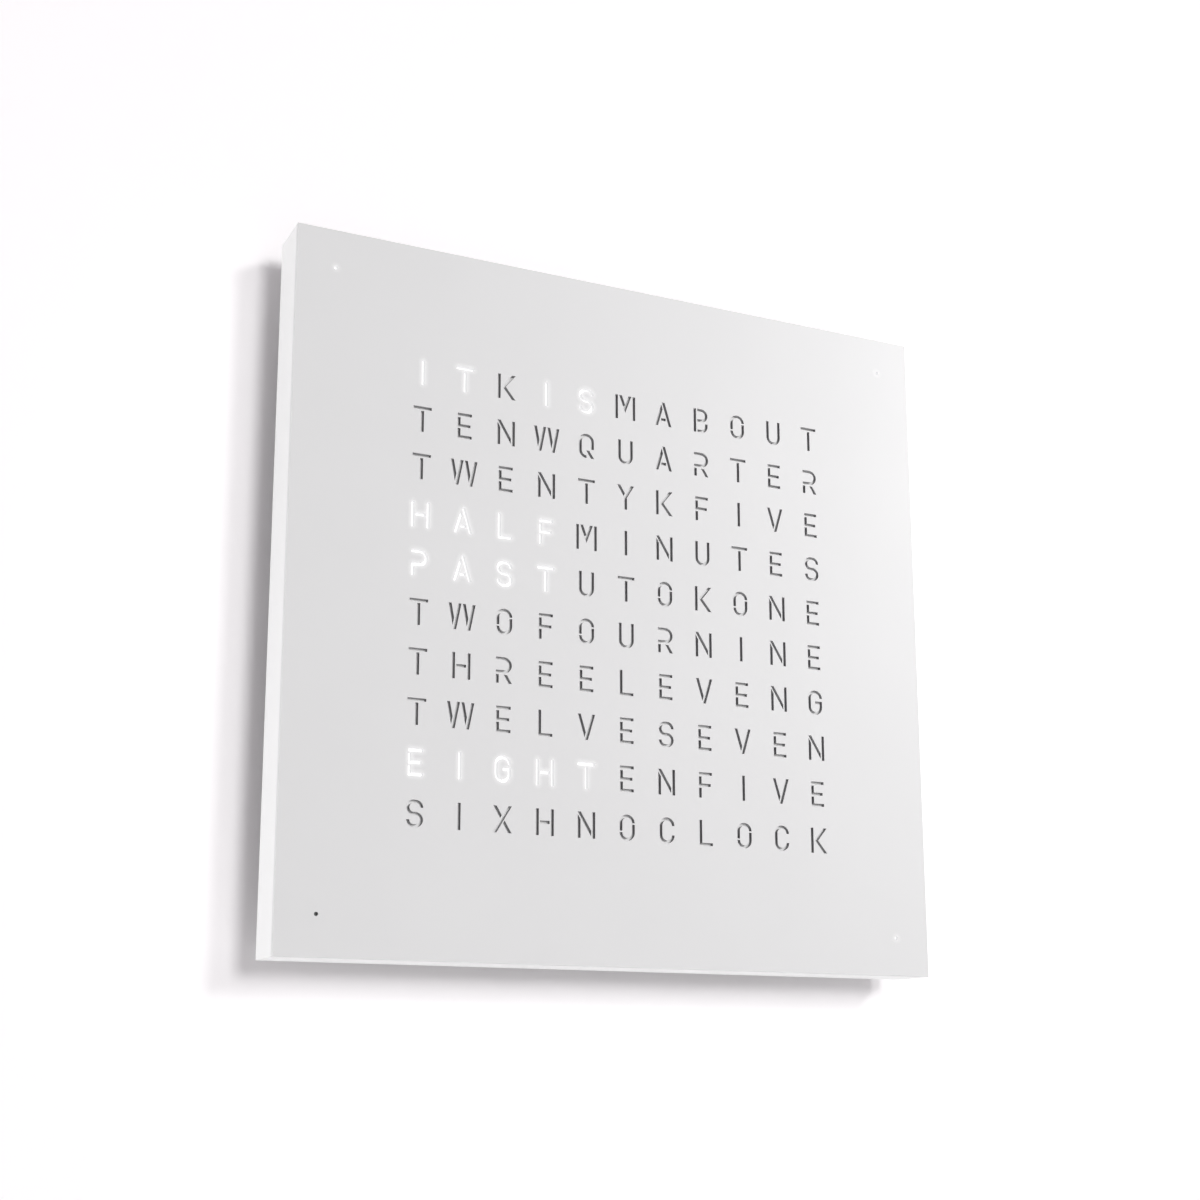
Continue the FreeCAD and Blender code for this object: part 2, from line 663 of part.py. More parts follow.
soft_plate = doc.addObject("Part::Fillet", "soft_plate")
soft_plate.Base = cover_plate
soft_plate.Edges = [(number, size("edge_round"), size("edge_round"))
                    for number in edges_on_plane(cover_plate.Shape, -size("cover_front"))]
letters = doc.addObject("Part::Feature", "letters")
letters.Shape = letter_cutters()
dots = [rod(f"dot_{index}", f"{sx} * dot_place", f"{sz} * dot_place",
            ("cover_back - overshoot", "cover_front + overshoot"), "dot_hole")
        for index, (sx, sz) in enumerate(CORNERS)]
node("front_cover", cut("front_cover_solid", soft_plate, [letters] + dots))

# Magnet places: the four corners and two on each side wall
MAGNET_PLACES = [(f"{sx} * post_centre", f"{sz} * post_centre") for sx, sz in CORNERS]
MAGNET_PLACES += [(f"{sx} * post_centre", f"{sz} * magnet_spread") for sx, sz in CORNERS]
PIN_PLACES = [("-post_centre", "0"), ("post_centre", "0")]

keepers = [rod(f"keeper_{index}", x, z, ("cover_back - keeper_thick", "cover_back"), "keeper_dia")
           for index, (x, z) in enumerate(MAGNET_PLACES)]
node("cover_keepers", group("keeper_group", keepers))
pins = [rod(f"pin_{index}", x, z, ("cover_back - pin_length", "cover_back"), "pin_dia")
        for index, (x, z) in enumerate(PIN_PLACES)]
node("locating_pins", group("pin_group", pins))

# ---------------------------------------------------------------------------------------------
# Body shell: a tray with posts for magnets, pins and the carrier plate
# ---------------------------------------------------------------------------------------------
CARRIER_PLACES = [(f"{sx} * (dot_place - carrier_corner_inset)",
                   f"{sz} * (dot_place - carrier_corner_inset)") for sx, sz in CORNERS]
CARRIER_PLACES += [(f"{sx} * (carrier_half - carrier_post_inset)",
                    f"{sz} * (carrier_half - carrier_post_inset)")
                   for sx, sz in [(-1, 0), (1, 0), (0, -1), (0, 1)]]
HOUSING_PLACES = [(f"{sx} * (housing_side / 2 - housing_boss_inset)",
                   f"{sz} * (housing_side / 2 - housing_boss_inset)") for sx, sz in CORNERS]
BUTTONS = [("hour_button", 1), ("minute_button", 0), ("mode_button", -1)]
button_out = "(shell_inside + button_board_width / 2 + button_board_lift)"
button_board_x = "(shell_inner - button_board_gap)"


def button_height(step):
    return f"(button_middle + {step} * button_spacing)"


shell = doc.addObject("PartDesign::Body", "shell_body")
outline = face_sketch(shell, "shell_outline", "shell_back")
sketch_box(outline, ("-half_face", "half_face"), ("-half_face", "half_face"))
pad(shell, "shell_slab", outline, "slab_depth - cover_thick")
hollow = face_sketch(shell, "shell_hollow", "cover_back")
sketch_box(hollow, ("-shell_inner", "shell_inner"), ("-shell_inner", "shell_inner"))
pocket(shell, "shell_inside_cut", hollow, "slab_depth - cover_thick - shell_floor")
cable_window = face_sketch(shell, "cable_window", "shell_inside")
sketch_box(cable_window, ("-ribbon_width", "ribbon_width"),
           ("-cable_window_drop - cable_window_side / 2", "-cable_window_drop + cable_window_side / 2"))
sketch_box(cable_window, ("lead_x - cable_window_side / 2", "lead_x + cable_window_side / 2"),
           ("lead_board - cable_window_side / 2", "lead_board + cable_window_side / 2"))
pocket(shell, "cable_window_cut", cable_window, "shell_floor")

magnet_seat = "(cover_back - keeper_thick - air_gap)"
shell_parts = [shell]
shell_parts += [tile(f"magnet_post_{index}", x, z, "post_side", "post_side",
                     ("shell_inside", magnet_seat))
                for index, (x, z) in enumerate(MAGNET_PLACES)]
shell_parts += [tile(f"pin_post_{index}", x, z, "post_side", "post_side",
                     ("shell_inside", "cover_back - air_gap"))
                for index, (x, z) in enumerate(PIN_PLACES)]
shell_parts += [rod(f"carrier_post_{index}", x, z, ("shell_inside", "carrier_back"), "carrier_post_dia")
                for index, (x, z) in enumerate(CARRIER_PLACES)]
board_ends = [f"(button_middle + {side} * button_screw_spread)" for side in (1, -1)]
shell_parts += [side_rod(f"button_board_post_{index}", (button_board_x, "shell_inner"), button_out, z,
                         "screw_head_dia")
                for index, z in enumerate(board_ends)]
shell_holes = [rod(f"magnet_hole_{index}", x, z, (f"{magnet_seat} - magnet_thick", magnet_seat),
                   "magnet_dia")
               for index, (x, z) in enumerate(MAGNET_PLACES)]
shell_holes += [rod(f"pin_hole_{index}", x, z, ("cover_back - pin_length - pin_room", "cover_back"),
                    "pin_dia + 2 * pin_play")
                for index, (x, z) in enumerate(PIN_PLACES)]
shell_holes += [rod(f"carrier_hole_{index}", x, z, ("carrier_back - screw_bite", "carrier_back"),
                    "screw_dia")
                for index, (x, z) in enumerate(CARRIER_PLACES)]
shell_holes += [side_rod(f"button_board_hole_{index}", (button_board_x, f"{button_board_x} + screw_bite"),
                         button_out, z, "screw_dia")
                for index, z in enumerate(board_ends)]
shell_holes += [side_rod(f"button_hole_{index}", ("shell_inner - overshoot", "half_face + overshoot"),
                         button_out, button_height(step), "button_dia + 2 * button_play")
                for index, (name, step) in enumerate(BUTTONS)]
shell_holes += [rod(f"housing_hole_{index}", x, z, ("shell_back", "shell_back + shell_floor"), "screw_dia")
                for index, (x, z) in enumerate(HOUSING_PLACES)]
node("body_shell", cut("body_shell_solid", fuse("shell_with_posts", shell_parts), shell_holes))

magnets = [rod(f"magnet_{index}", x, z, (f"{magnet_seat} - magnet_thick", magnet_seat), "magnet_dia")
           for index, (x, z) in enumerate(MAGNET_PLACES)]
node("magnets", group("magnet_group", magnets))

# ---------------------------------------------------------------------------------------------
# Carrier plate with its screws
# ---------------------------------------------------------------------------------------------
carrier = doc.addObject("PartDesign::Body", "carrier_body")
carrier_outline = face_sketch(carrier, "carrier_outline", "carrier_back")
sketch_box(carrier_outline, ("-carrier_half", "carrier_half"), ("-carrier_half", "carrier_half"))
for x, z in CARRIER_PLACES:
    sketch_circle(carrier_outline, x, z, "screw_dia")
pad(carrier, "carrier_sheet", carrier_outline, "carrier_thick")
node("carrier_plate", carrier)


def screw(name, x, z, seat, toward_wall):
    """A small pan-head screw whose head sits on the plane out = seat."""
    if toward_wall:
        head = rod(name + "_head", x, z, (seat, f"{seat} + screw_head_thick"), "screw_head_dia")
        shank = rod(name + "_shank", x, z, (f"{seat} - carrier_thick - screw_bite", seat), "screw_dia")
    else:
        head = rod(name + "_head", x, z, (f"{seat} - screw_head_thick", seat), "screw_head_dia")
        shank = rod(name + "_shank", x, z, (seat, f"{seat} + screw_bite"), "screw_dia")
    return fuse(name, [head, shank])


node("carrier_screws", group("carrier_screw_group", [
    screw(f"carrier_screw_{index}", x, z, "carrier_front", True)
    for index, (x, z) in enumerate(CARRIER_PLACES)]))

# ---------------------------------------------------------------------------------------------
# LED strips, one per letter row, and the corner lights
# ---------------------------------------------------------------------------------------------
strip_half = "((column_count - 1) / 2 * column_pitch + strip_margin)"
for row in ROWS:
    z = row_place(row)
    strip = block(f"strip_{row}", (f"-{strip_half}", strip_half), ("carrier_front", "strip_front"),
                  (f"{z} - strip_height / 2", f"{z} + strip_height / 2"))
    node(f"led_strip_{row + 1:02d}", strip)
leds = [tile(f"led_{row}_{column}", column_place(column), row_place(row), "led_side", "led_side",
             ("strip_front", "strip_front + led_thick"))
        for row in ROWS for column in COLUMNS]
node("leds", group("led_group", leds))

corner_places = [(f"{sx} * dot_place", f"{sz} * dot_place") for sx, sz in CORNERS]
board_side = "tube_side - 2 * tube_wall - 2 * air_gap"
node("corner_led_boards", group("corner_board_group", [
    tile(f"corner_board_{index}", x, z, board_side, board_side, ("carrier_front", "strip_front"))
    for index, (x, z) in enumerate(corner_places)]))
node("corner_leds", group("corner_led_group", [
    tile(f"corner_led_{index}", x, z, "led_side", "led_side", ("strip_front", "strip_front + led_thick"))
    for index, (x, z) in enumerate(corner_places)]))
tube_bore = "tube_side - 2 * tube_wall"
tubes = []
for index, (x, z) in enumerate(corner_places):
    outer = tile(f"tube_outer_{index}", x, z, "tube_side", "tube_side", ("carrier_front", "diffuser_back"))
    inner = tile(f"tube_inner_{index}", x, z, tube_bore, tube_bore, ("carrier_front", "diffuser_back"))
    tubes.append(cut(f"tube_{index}", outer, [inner]))
node("corner_light_tubes", group("tube_group", tubes))

jumpers = []
for row in ROWS[:-1]:
    side = "1" if row % 2 == 0 else "-1"
    place = f"{side} * ({strip_half} - jumper_inset)"
    jumpers.append(block(
        f"jumper_{row}",
        (f"{place} - jumper_width / 2", f"{place} + jumper_width / 2"),
        ("carrier_front", "strip_front"),
        (f"{row_place(row + 1)} + strip_height / 2", f"{row_place(row)} - strip_height / 2")))
node("strip_jumpers", group("jumper_group", jumpers))

# ---------------------------------------------------------------------------------------------
# Light grid: one chamber per letter, notched over the strips and the jumpers
# ---------------------------------------------------------------------------------------------
grid_half_width = "(column_count * column_pitch / 2 + grid_margin)"
grid_half_height = "(row_count * row_pitch / 2 + grid_margin)"
grid = doc.addObject("PartDesign::Body", "grid_body")
grid_outline = face_sketch(grid, "grid_outline", "carrier_front")
sketch_box(grid_outline, (f"-{grid_half_width}", grid_half_width),
           (f"matrix_rise - {grid_half_height}", f"matrix_rise + {grid_half_height}"))
pad(grid, "grid_block", grid_outline, "diffuser_back - carrier_front")
chamber = face_sketch(grid, "grid_chamber", "diffuser_back")
sketch_box(chamber,
           (f"{column_place(0)} - (column_pitch - grid_web) / 2",
            f"{column_place(0)} + (column_pitch - grid_web) / 2"),
           (f"{row_place(len(ROWS) - 1)} - (row_pitch - grid_web) / 2",
            f"{row_place(len(ROWS) - 1)} + (row_pitch - grid_web) / 2"))
chamber_cut = pocket(grid, "grid_chamber_cut", chamber, "diffuser_back - carrier_front")
chambers = grid.newObject("PartDesign::LinearPattern", "grid_chambers")
chambers.Originals = [chamber_cut]
chambers.Direction = (chamber, ["H_Axis"])
chambers.Direction2 = (chamber, ["V_Axis"])
chambers.Occurrences = len(COLUMNS)
chambers.Occurrences2 = len(ROWS)
bind(chambers, Length="(column_count - 1) * column_pitch", Length2="(row_count - 1) * row_pitch")
grid.Tip = chambers

notches = []
for row in ROWS:
    z = row_place(row)
    notches.append(block(f"strip_notch_{row}", (f"-{strip_half} - air_gap", f"{strip_half} + air_gap"),
                         ("carrier_front - overshoot", "strip_front + air_gap"),
                         (f"{z} - strip_height / 2 - air_gap", f"{z} + strip_height / 2 + air_gap")))
for side, name in (("-1", "left"), ("1", "right")):
    place = f"{side} * ({strip_half} - jumper_inset)"
    notches.append(block(
        f"jumper_notch_{name}",
        (f"{place} - jumper_width / 2 - air_gap", f"{place} + jumper_width / 2 + air_gap"),
        ("carrier_front - overshoot", "strip_front + air_gap"),
        (f"{row_place(len(ROWS) - 1)}", f"{row_place(0)}")))
grid_cut = doc.addObject("Part::Cut", "grid_solid")
grid_cut.Base = grid
grid_cut.Tool = fuse("grid_notches", notches)
node("light_grid", grid_cut)

node("diffuser_sheet", tile("diffuser", "0", "0", "2 * carrier_half", "2 * carrier_half",
                            ("diffuser_back", "diffuser_front")))
node("light_sensor", tile("sensor_chip", f"{column_place(4)} + sensor_shift", row_place(len(ROWS) - 1),
                          "sensor_side", "sensor_side", ("strip_front", "strip_front + sensor_thick")))

# ---------------------------------------------------------------------------------------------
# Rear housing: holds the slab off the wall and the electronics inside
# ---------------------------------------------------------------------------------------------
half_housing = "(housing_side / 2)"
housing = doc.addObject("PartDesign::Body", "housing_body")
housing_outline = face_sketch(housing, "housing_outline", "0")
sketch_box(housing_outline, (f"-{half_housing}", half_housing), (f"-{half_housing}", half_housing))
pad(housing, "housing_block", housing_outline, "wall_gap")
housing_hollow = face_sketch(housing, "housing_hollow", "wall_gap")
sketch_box(housing_hollow, (f"housing_wall - {half_housing}", f"{half_housing} - housing_wall"),
           (f"housing_wall - {half_housing}", f"{half_housing} - housing_wall"))
pocket(housing, "housing_hollow_cut", housing_hollow, "wall_gap - housing_wall")
hanger_windows = face_sketch(housing, "hanger_windows", "housing_wall")
for side in ("-1", "1"):
    x = f"{side} * hanger_x"
    sketch_box(hanger_windows, (f"{x} - window_width / 2", f"{x} + window_width / 2"),
               ("hanger_z - window_height / 2", "hanger_z + window_height / 2"))
pocket(housing, "hanger_windows_cut", hanger_windows, "housing_wall")

BOARD_PLACES = [(f"{sx} * (board_width / 2 - board_hole_inset)",
                 f"board_middle + {sz} * (board_height / 2 - board_hole_inset)") for sx, sz in CORNERS]
HANGER_SCREWS = [(f"{sx} * hanger_x + {sz} * hanger_screw_spread", "hanger_z") for sx, sz in CORNERS]
housing_parts = [housing]
housing_parts += [rod(f"housing_boss_{index}", x, z, ("0", "wall_gap"), "housing_boss_dia")
                  for index, (x, z) in enumerate(HOUSING_PLACES)]
housing_parts += [rod(f"board_post_{index}", x, z, ("housing_wall", "board_back"), "board_post_dia")
                  for index, (x, z) in enumerate(BOARD_PLACES)]
housing_holes = [rod(f"housing_sink_{index}", x, z, ("-overshoot", "housing_head_sink"),
                     "housing_head_dia + 2 * air_gap")
                 for index, (x, z) in enumerate(HOUSING_PLACES)]
housing_holes += [rod(f"housing_bore_{index}", x, z, ("housing_head_sink", "wall_gap + overshoot"),
                      "screw_dia")
                  for index, (x, z) in enumerate(HOUSING_PLACES)]
housing_holes += [rod(f"board_bore_{index}", x, z, ("board_back - screw_bite", "board_back"), "screw_dia")
                  for index, (x, z) in enumerate(BOARD_PLACES)]
housing_holes += [rod(f"hanger_bore_{index}", x, z, ("housing_wall - hanger_bite", "housing_wall"),
                      "screw_dia")
                  for index, (x, z) in enumerate(HANGER_SCREWS)]
housing_holes += [block("inlet_port", ("inlet_side - inlet_width / 2 - air_gap",
                                       "inlet_side + inlet_width / 2 + air_gap"),
                        ("board_back - air_gap", "board_front + inlet_height + air_gap"),
                        (f"-{half_housing} - overshoot", f"housing_wall - {half_housing}"))]
node("rear_housing", cut("rear_housing_solid", fuse("housing_with_posts", housing_parts), housing_holes))

housing_screws = []
for index, (x, z) in enumerate(HOUSING_PLACES):
    head = rod(f"housing_screw_head_{index}", x, z,
               ("housing_head_sink - housing_head_thick", "housing_head_sink"), "housing_head_dia")
    shank = rod(f"housing_screw_shank_{index}", x, z,
                ("housing_head_sink", "shell_back + shell_floor"), "screw_dia")
    housing_screws.append(fuse(f"housing_screw_{index}", [head, shank]))
node("housing_screws", group("housing_screw_group", housing_screws))

# Keyhole plates behind the windows of the housing's back
for side, name in (("-1", "hanger_plate_left"), ("1", "hanger_plate_right")):
    x = f"{side} * hanger_x"
    out = ("housing_wall", "housing_wall + hanger_thick")
    through = ("housing_wall - overshoot", "housing_wall + hanger_thick + overshoot")
    plate = tile(name + "_blank", x, "hanger_z", "hanger_width", "hanger_height", out)
    keyhole = fuse(name + "_keyhole", [
        rod(name + "_entry", x, "hanger_z - keyhole_run / 2", through, "keyhole_entry"),
        tile(name + "_slot", x, "hanger_z", "keyhole_slot", "keyhole_run", through),
        rod(name + "_end", x, "hanger_z + keyhole_run / 2", through, "keyhole_slot")])
    bores = [rod(f"{name}_bore_{step}", f"{x} + {step} * hanger_screw_spread", "hanger_z", through,
                 "screw_dia") for step in (-1, 1)]
    node(name, cut(name + "_solid", plate, [keyhole] + bores))
hanger_screws = []
for index, (x, z) in enumerate(HANGER_SCREWS):
    seat = "(housing_wall + hanger_thick)"
    head = rod(f"hanger_screw_head_{index}", x, z, (seat, f"{seat} + screw_head_thick"), "screw_head_dia")
    shank = rod(f"hanger_screw_shank_{index}", x, z, ("housing_wall - hanger_bite", seat), "screw_dia")
    hanger_screws.append(fuse(f"hanger_screw_{index}", [head, shank]))
node("hanger_screws", group("hanger_screw_group", hanger_screws))

# ---------------------------------------------------------------------------------------------
# Controller board and what is soldered to it
# ---------------------------------------------------------------------------------------------
board = doc.addObject("PartDesign::Body", "board_body")
board_outline = face_sketch(board, "board_outline", "board_back")
sketch_box(board_outline, ("-board_width / 2", "board_width / 2"),
           ("board_middle - board_height / 2", "board_middle + board_height / 2"))
for x, z in BOARD_PLACES:
    sketch_circle(board_outline, x, z, "screw_dia")
pad(board, "board_sheet", board_outline, "board_thick")
node("controller_board", board)
board_screws = []
for index, (x, z) in enumerate(BOARD_PLACES):
    head = rod(f"board_screw_head_{index}", x, z, ("board_front", "board_front + screw_head_thick"),
               "screw_head_dia")
    shank = rod(f"board_screw_shank_{index}", x, z, ("board_back - screw_bite", "board_front"),
                "screw_dia")
    board_screws.append(fuse(f"board_screw_{index}", [head, shank]))
node("board_screws", group("board_screw_group", board_screws))


def on_board(name, x, z, width, height, thick):
    """A flat component on the front of the controller board; z is counted from the board's middle."""
    return tile(name, x, f"board_middle + {z}", width, height, ("board_front", f"board_front + {thick}"))


node("microcontroller", on_board("mcu_body", "-mcu_left", "mcu_rise", "mcu_side", "mcu_side", "mcu_thick"))
node("clock_chip", on_board("rtc_body", "-rtc_left", "rtc_rise", "rtc_width", "rtc_height", "rtc_thick"))
node("voltage_regulator", on_board("regulator_body", "regulator_right", "-regulator_drop",
                                   "regulator_width", "regulator_height", "regulator_thick"))
node("quartz_crystal", on_board("crystal_body", "-mcu_left", "-crystal_drop",
                                "crystal_width", "crystal_height", "crystal_thick"))
cell_pocket = rod("cell_pocket", "-cell_left", "cell_place",
                  ("board_front + cell_lift", "board_front + holder_thick + overshoot"),
                  "cell_dia + 2 * air_gap")
cell_base = tile("cell_base", "-cell_left", "cell_place", "holder_side", "holder_side",
                 ("board_front", "board_front + holder_thick"))
node("backup_cell_holder", cut("cell_holder_solid", cell_base, [cell_pocket]))
node("backup_cell", rod("cell_disc", "-cell_left", "cell_place",
                        ("board_front + cell_lift", "board_front + cell_lift + cell_thick"), "cell_dia"))
capacitors = [rod(f"capacitor_{index}", f"capacitor_right + {index} * capacitor_spacing",
                  "board_middle - capacitor_drop", ("board_front", "board_front + capacitor_height"),
                  "capacitor_dia")
              for index in range(2)]
node("smoothing_capacitors", group("capacitor_group", capacitors))

# Power inlet: its mouth is flush with the housing's lower wall
inlet_out = "(board_front + inlet_height / 2)"
inlet_block = block("inlet_block", ("inlet_side - inlet_width / 2", "inlet_side + inlet_width / 2"),
                    ("board_front", "board_front + inlet_height"),
                    (f"-{half_housing}", f"inlet_length - {half_housing}"))
inlet_bore = upright_rod("inlet_bore_tool", "inlet_side", inlet_out,
                         (f"-{half_housing} - overshoot", f"inlet_bore_depth - {half_housing}"),
                         "inlet_bore")
node("power_inlet", cut("power_inlet_solid", inlet_block, [inlet_bore]))
node("inlet_pin", upright_rod("inlet_pin_rod", "inlet_side", inlet_out,
                              (f"inlet_pin_inset - {half_housing}",
                               f"inlet_bore_depth - {half_housing}"), "inlet_pin"))

# ---------------------------------------------------------------------------------------------
# Set buttons in the right side wall, with their switches and board
# ---------------------------------------------------------------------------------------------
flange_outer = "(shell_inner - air_gap)"
flange_inner = "(shell_inner - air_gap - button_flange_thick)"
switch_front = f"({button_board_x} + switch_thick)"
stem_end = f"({switch_front} - stem_entry)"
switches = []
for index, (name, step) in enumerate(BUTTONS):
    z = button_height(step)
    cap = side_rod(name + "_cap", (flange_outer, "half_face + button_proud"), button_out, z, "button_dia")
    flange = side_rod(name + "_flange", (flange_inner, flange_outer), button_out, z, "button_flange")
    stem = side_rod(name + "_stem", (stem_end, flange_inner), button_out, z, "button_stem")
    node(name, fuse(name + "_solid", [cap, flange, stem]))
    case = block(f"switch_case_{index}", (button_board_x, switch_front),
                 (f"{button_out} - switch_side / 2", f"{button_out} + switch_side / 2"),
                 (f"{z} - switch_side / 2", f"{z} + switch_side / 2"))
    bore = side_rod(f"switch_bore_{index}",
                    (f"{stem_end} - button_travel - air_gap", f"{switch_front} + overshoot"),
                    button_out, z, "button_stem + 2 * button_play")
    switches.append(cut(f"switch_{index}", case, [bore]))
node("button_switches", group("switch_group", switches))
button_board = block("button_board_blank", (f"{button_board_x} - board_thick", button_board_x),
                     (f"{button_out} - button_board_width / 2", f"{button_out} + button_board_width / 2"),
                     ("button_middle - button_board_length / 2",
                      "button_middle + button_board_length / 2"))
board_bores = [side_rod(f"button_board_bore_{index}",
                        (f"{button_board_x} - board_thick - overshoot", f"{button_board_x} + overshoot"),
                        button_out, z, "screw_dia") for index, z in enumerate(board_ends)]
node("button_board", cut("button_board_solid", button_board, board_bores))
board_bolts = []
for index, z in enumerate(board_ends):
    seat = f"({button_board_x} - board_thick)"
    head = side_rod(f"board_bolt_head_{index}", (f"{seat} - screw_head_thick", seat), button_out, z,
                    "screw_head_dia")
    shank = side_rod(f"board_bolt_shank_{index}", (seat, f"{button_board_x} + screw_bite"), button_out, z,
                     "screw_dia")
    board_bolts.append(fuse(f"board_bolt_{index}", [head, shank]))
node("button_board_screws", group("board_bolt_group", board_bolts))

# ---------------------------------------------------------------------------------------------
# Internal cables and their plugs
# ---------------------------------------------------------------------------------------------
node("ribbon_plugs", group("ribbon_plug_group", [
    on_board("ribbon_plug_low", "0", "plug_low_rise", "ribbon_width + 2 * plug_margin", "plug_height",
             "plug_thick"),
    tile("ribbon_plug_high", "0", "plug_high_rise", "ribbon_width + 2 * plug_margin", "plug_height",
         ("carrier_back - plug_high_thick", "carrier_back")),
    block("lead_plug", ("board_width / 2 - lead_plug_length", "board_width / 2"),
          ("board_front", "board_front + lead_plug_thick"),
          ("lead_board - lead_plug_width / 2", "lead_board + lead_plug_width / 2")),
    block("lead_plug_side",
          (f"{button_board_x} - board_thick - side_plug_side", f"{button_board_x} - board_thick"),
          ("shell_inside + side_plug_lift", "shell_inside + side_plug_lift + side_plug_side"),
          ("lead_height - side_plug_side / 2", "lead_height + side_plug_side / 2"))]))


def ribbon_shape():
    """A flat cable from the controller board, through the shell's rear wall, to the carrier plate."""
    thick = size("ribbon_thick")
    bend = size("ribbon_bend")
    start = size("board_front + ribbon_lift")
    level = size("carrier_back - ribbon_level")
    low = size("board_middle + plug_low_rise + plug_height / 2")
    window = -size("cable_window_drop")
    high = size("plug_high_rise - plug_height / 2")
    # The loop is drawn in the plane of x = out and z = height, and then turned to face along X
    path = [(start, low, 0), (start, window, bend), (level, window, bend), (level, high, 0)]
    face = Part.Face(stroke_loop(path, thick))
    width = size("ribbon_width")
    solid = face.extrude(Vector(0, width, 0))
    solid.rotate(Vector(0, 0, 0), Vector(0, 0, 1), -90)
    solid.translate(Vector(-width / 2, 0, 0))
    return solid


ribbon = doc.addObject("Part::Feature", "ribbon")
ribbon.Shape = ribbon_shape()
node("ribbon_cable", ribbon)


def lead_shape():
    """A round lead from the button board to the controller board, bends rounded by one radius."""
    bend = size("lead_bend")
    outer = size("shell_inside + side_plug_lift + side_plug_side / 2")
    inner = size("board_front + lead_plug_thick / 2")
    start = size(f"{button_board_x} - board_thick - side_plug_side")
    turn = size("lead_x")
    low = size("lead_height")
    high = size("lead_board")
    corners = [Vector(start, -outer, low), Vector(turn, -outer, low), Vector(turn, -outer, high),
               Vector(turn, -inner, high), Vector(size("board_width / 2"), -inner, high)]
    edges = []
    cursor = corners[0]
    for index in range(1, len(corners) - 1):
        first, middle, last = corner_arc(corners[index - 1], corners[index], corners[index + 1], bend)
        edges.append(Part.LineSegment(cursor, first).toShape())
        edges.append(Part.Arc(first, middle, last).toShape())
        cursor = last
    edges.append(Part.LineSegment(cursor, corners[-1]).toShape())
    spine = Part.Wire(edges)
    ring = Part.Wire([Part.Circle(corners[0], Vector(-1, 0, 0), size("lead_dia") / 2).toShape()])
    return spine.makePipeShell([ring], True, False)


lead = doc.addObject("Part::Feature", "lead")
lead.Shape = lead_shape()
node("button_lead", lead)

# ---------------------------------------------------------------------------------------------
# Check and write
# ---------------------------------------------------------------------------------------------
doc.recompute()
failed = [item.Name for item in doc.Objects if "Invalid" in item.State or "Error" in item.State]
if failed:
    raise RuntimeError(f"objects that failed: {failed}")
for label, item in nodes.items():
    if item.Shape.isNull() or not item.Shape.isValid() or not item.Shape.Solids:
        raise RuntimeError(f"{label} has no valid solid")

os.makedirs("parts", exist_ok=True)
for label, item in nodes.items():
    item.Shape.exportStep(f"parts/{label}.step")
    box = item.Shape.BoundBox
    print(f"{label}: {len(item.Shape.Solids)} solids, {item.Shape.Volume:.0f} mm3, "
          f"x {box.XMin:.1f} {box.XMax:.1f}, y {box.YMin:.1f} {box.YMax:.1f}, "
          f"z {box.ZMin:.1f} {box.ZMax:.1f}")
print(len(nodes), "nodes")
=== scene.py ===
# %% [markdown]
# # A word clock on a white wall
# The clock is a square slab of white powder-coated aluminium that floats in front of a wall. Its
# letters are cut right through the front cover, and an opal sheet behind them shines where an LED is
# on. The construction comes ready made, in metres, with +Z up and the wall at y = 0. It could be
# modelled again, but it fits and moves already, so its shapes are left alone. This lesson gives every
# surface its finish, models the small turned and moulded pieces in more detail, and lights the clock.

import json
import math

import bmesh
import bpy
from mathutils import Matrix, Vector


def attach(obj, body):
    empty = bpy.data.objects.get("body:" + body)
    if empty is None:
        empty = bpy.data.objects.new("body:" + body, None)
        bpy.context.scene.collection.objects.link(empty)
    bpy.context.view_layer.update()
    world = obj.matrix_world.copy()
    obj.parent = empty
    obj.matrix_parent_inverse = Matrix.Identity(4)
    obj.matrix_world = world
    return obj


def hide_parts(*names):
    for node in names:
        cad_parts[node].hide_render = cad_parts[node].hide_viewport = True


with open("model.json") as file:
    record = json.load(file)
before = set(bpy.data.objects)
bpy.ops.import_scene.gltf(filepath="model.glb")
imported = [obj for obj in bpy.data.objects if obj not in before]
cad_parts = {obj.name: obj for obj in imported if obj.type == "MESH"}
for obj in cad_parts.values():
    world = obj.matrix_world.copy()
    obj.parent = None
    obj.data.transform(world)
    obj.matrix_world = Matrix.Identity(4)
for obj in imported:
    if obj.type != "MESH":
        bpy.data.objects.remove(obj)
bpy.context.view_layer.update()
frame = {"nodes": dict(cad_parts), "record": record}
NODES = frame["nodes"]
MM = 0.001

# %% [markdown]
# The camera stands low and to the left of the clock, and looks up at it. Three turns about the axes
# would place it too, but two angles say what a person behind it does: turn to the right, and tilt up.
# `to_track_quat` makes a rotation of that direction of sight. The lens is shifted a little upward, as
# on a view camera, which keeps the clock low in the picture without tilting the camera more.

# %% Camera
CAMERA_PLACE = (-0.5063, -1.0704, -0.2987)
CAMERA_YAW = math.radians(25.26)
CAMERA_PITCH = math.radians(12.02)
LENS_MM = 54.58
SENSOR_MM = 36
SHIFT_RIGHT = 0.0111
SHIFT_UP = 0.0852


def put_in_scene(name, data):
    """An object for a camera, a lamp or a mesh, linked to the scene."""
    item = bpy.data.objects.new(name, data)
    bpy.context.scene.collection.objects.link(item)
    return item


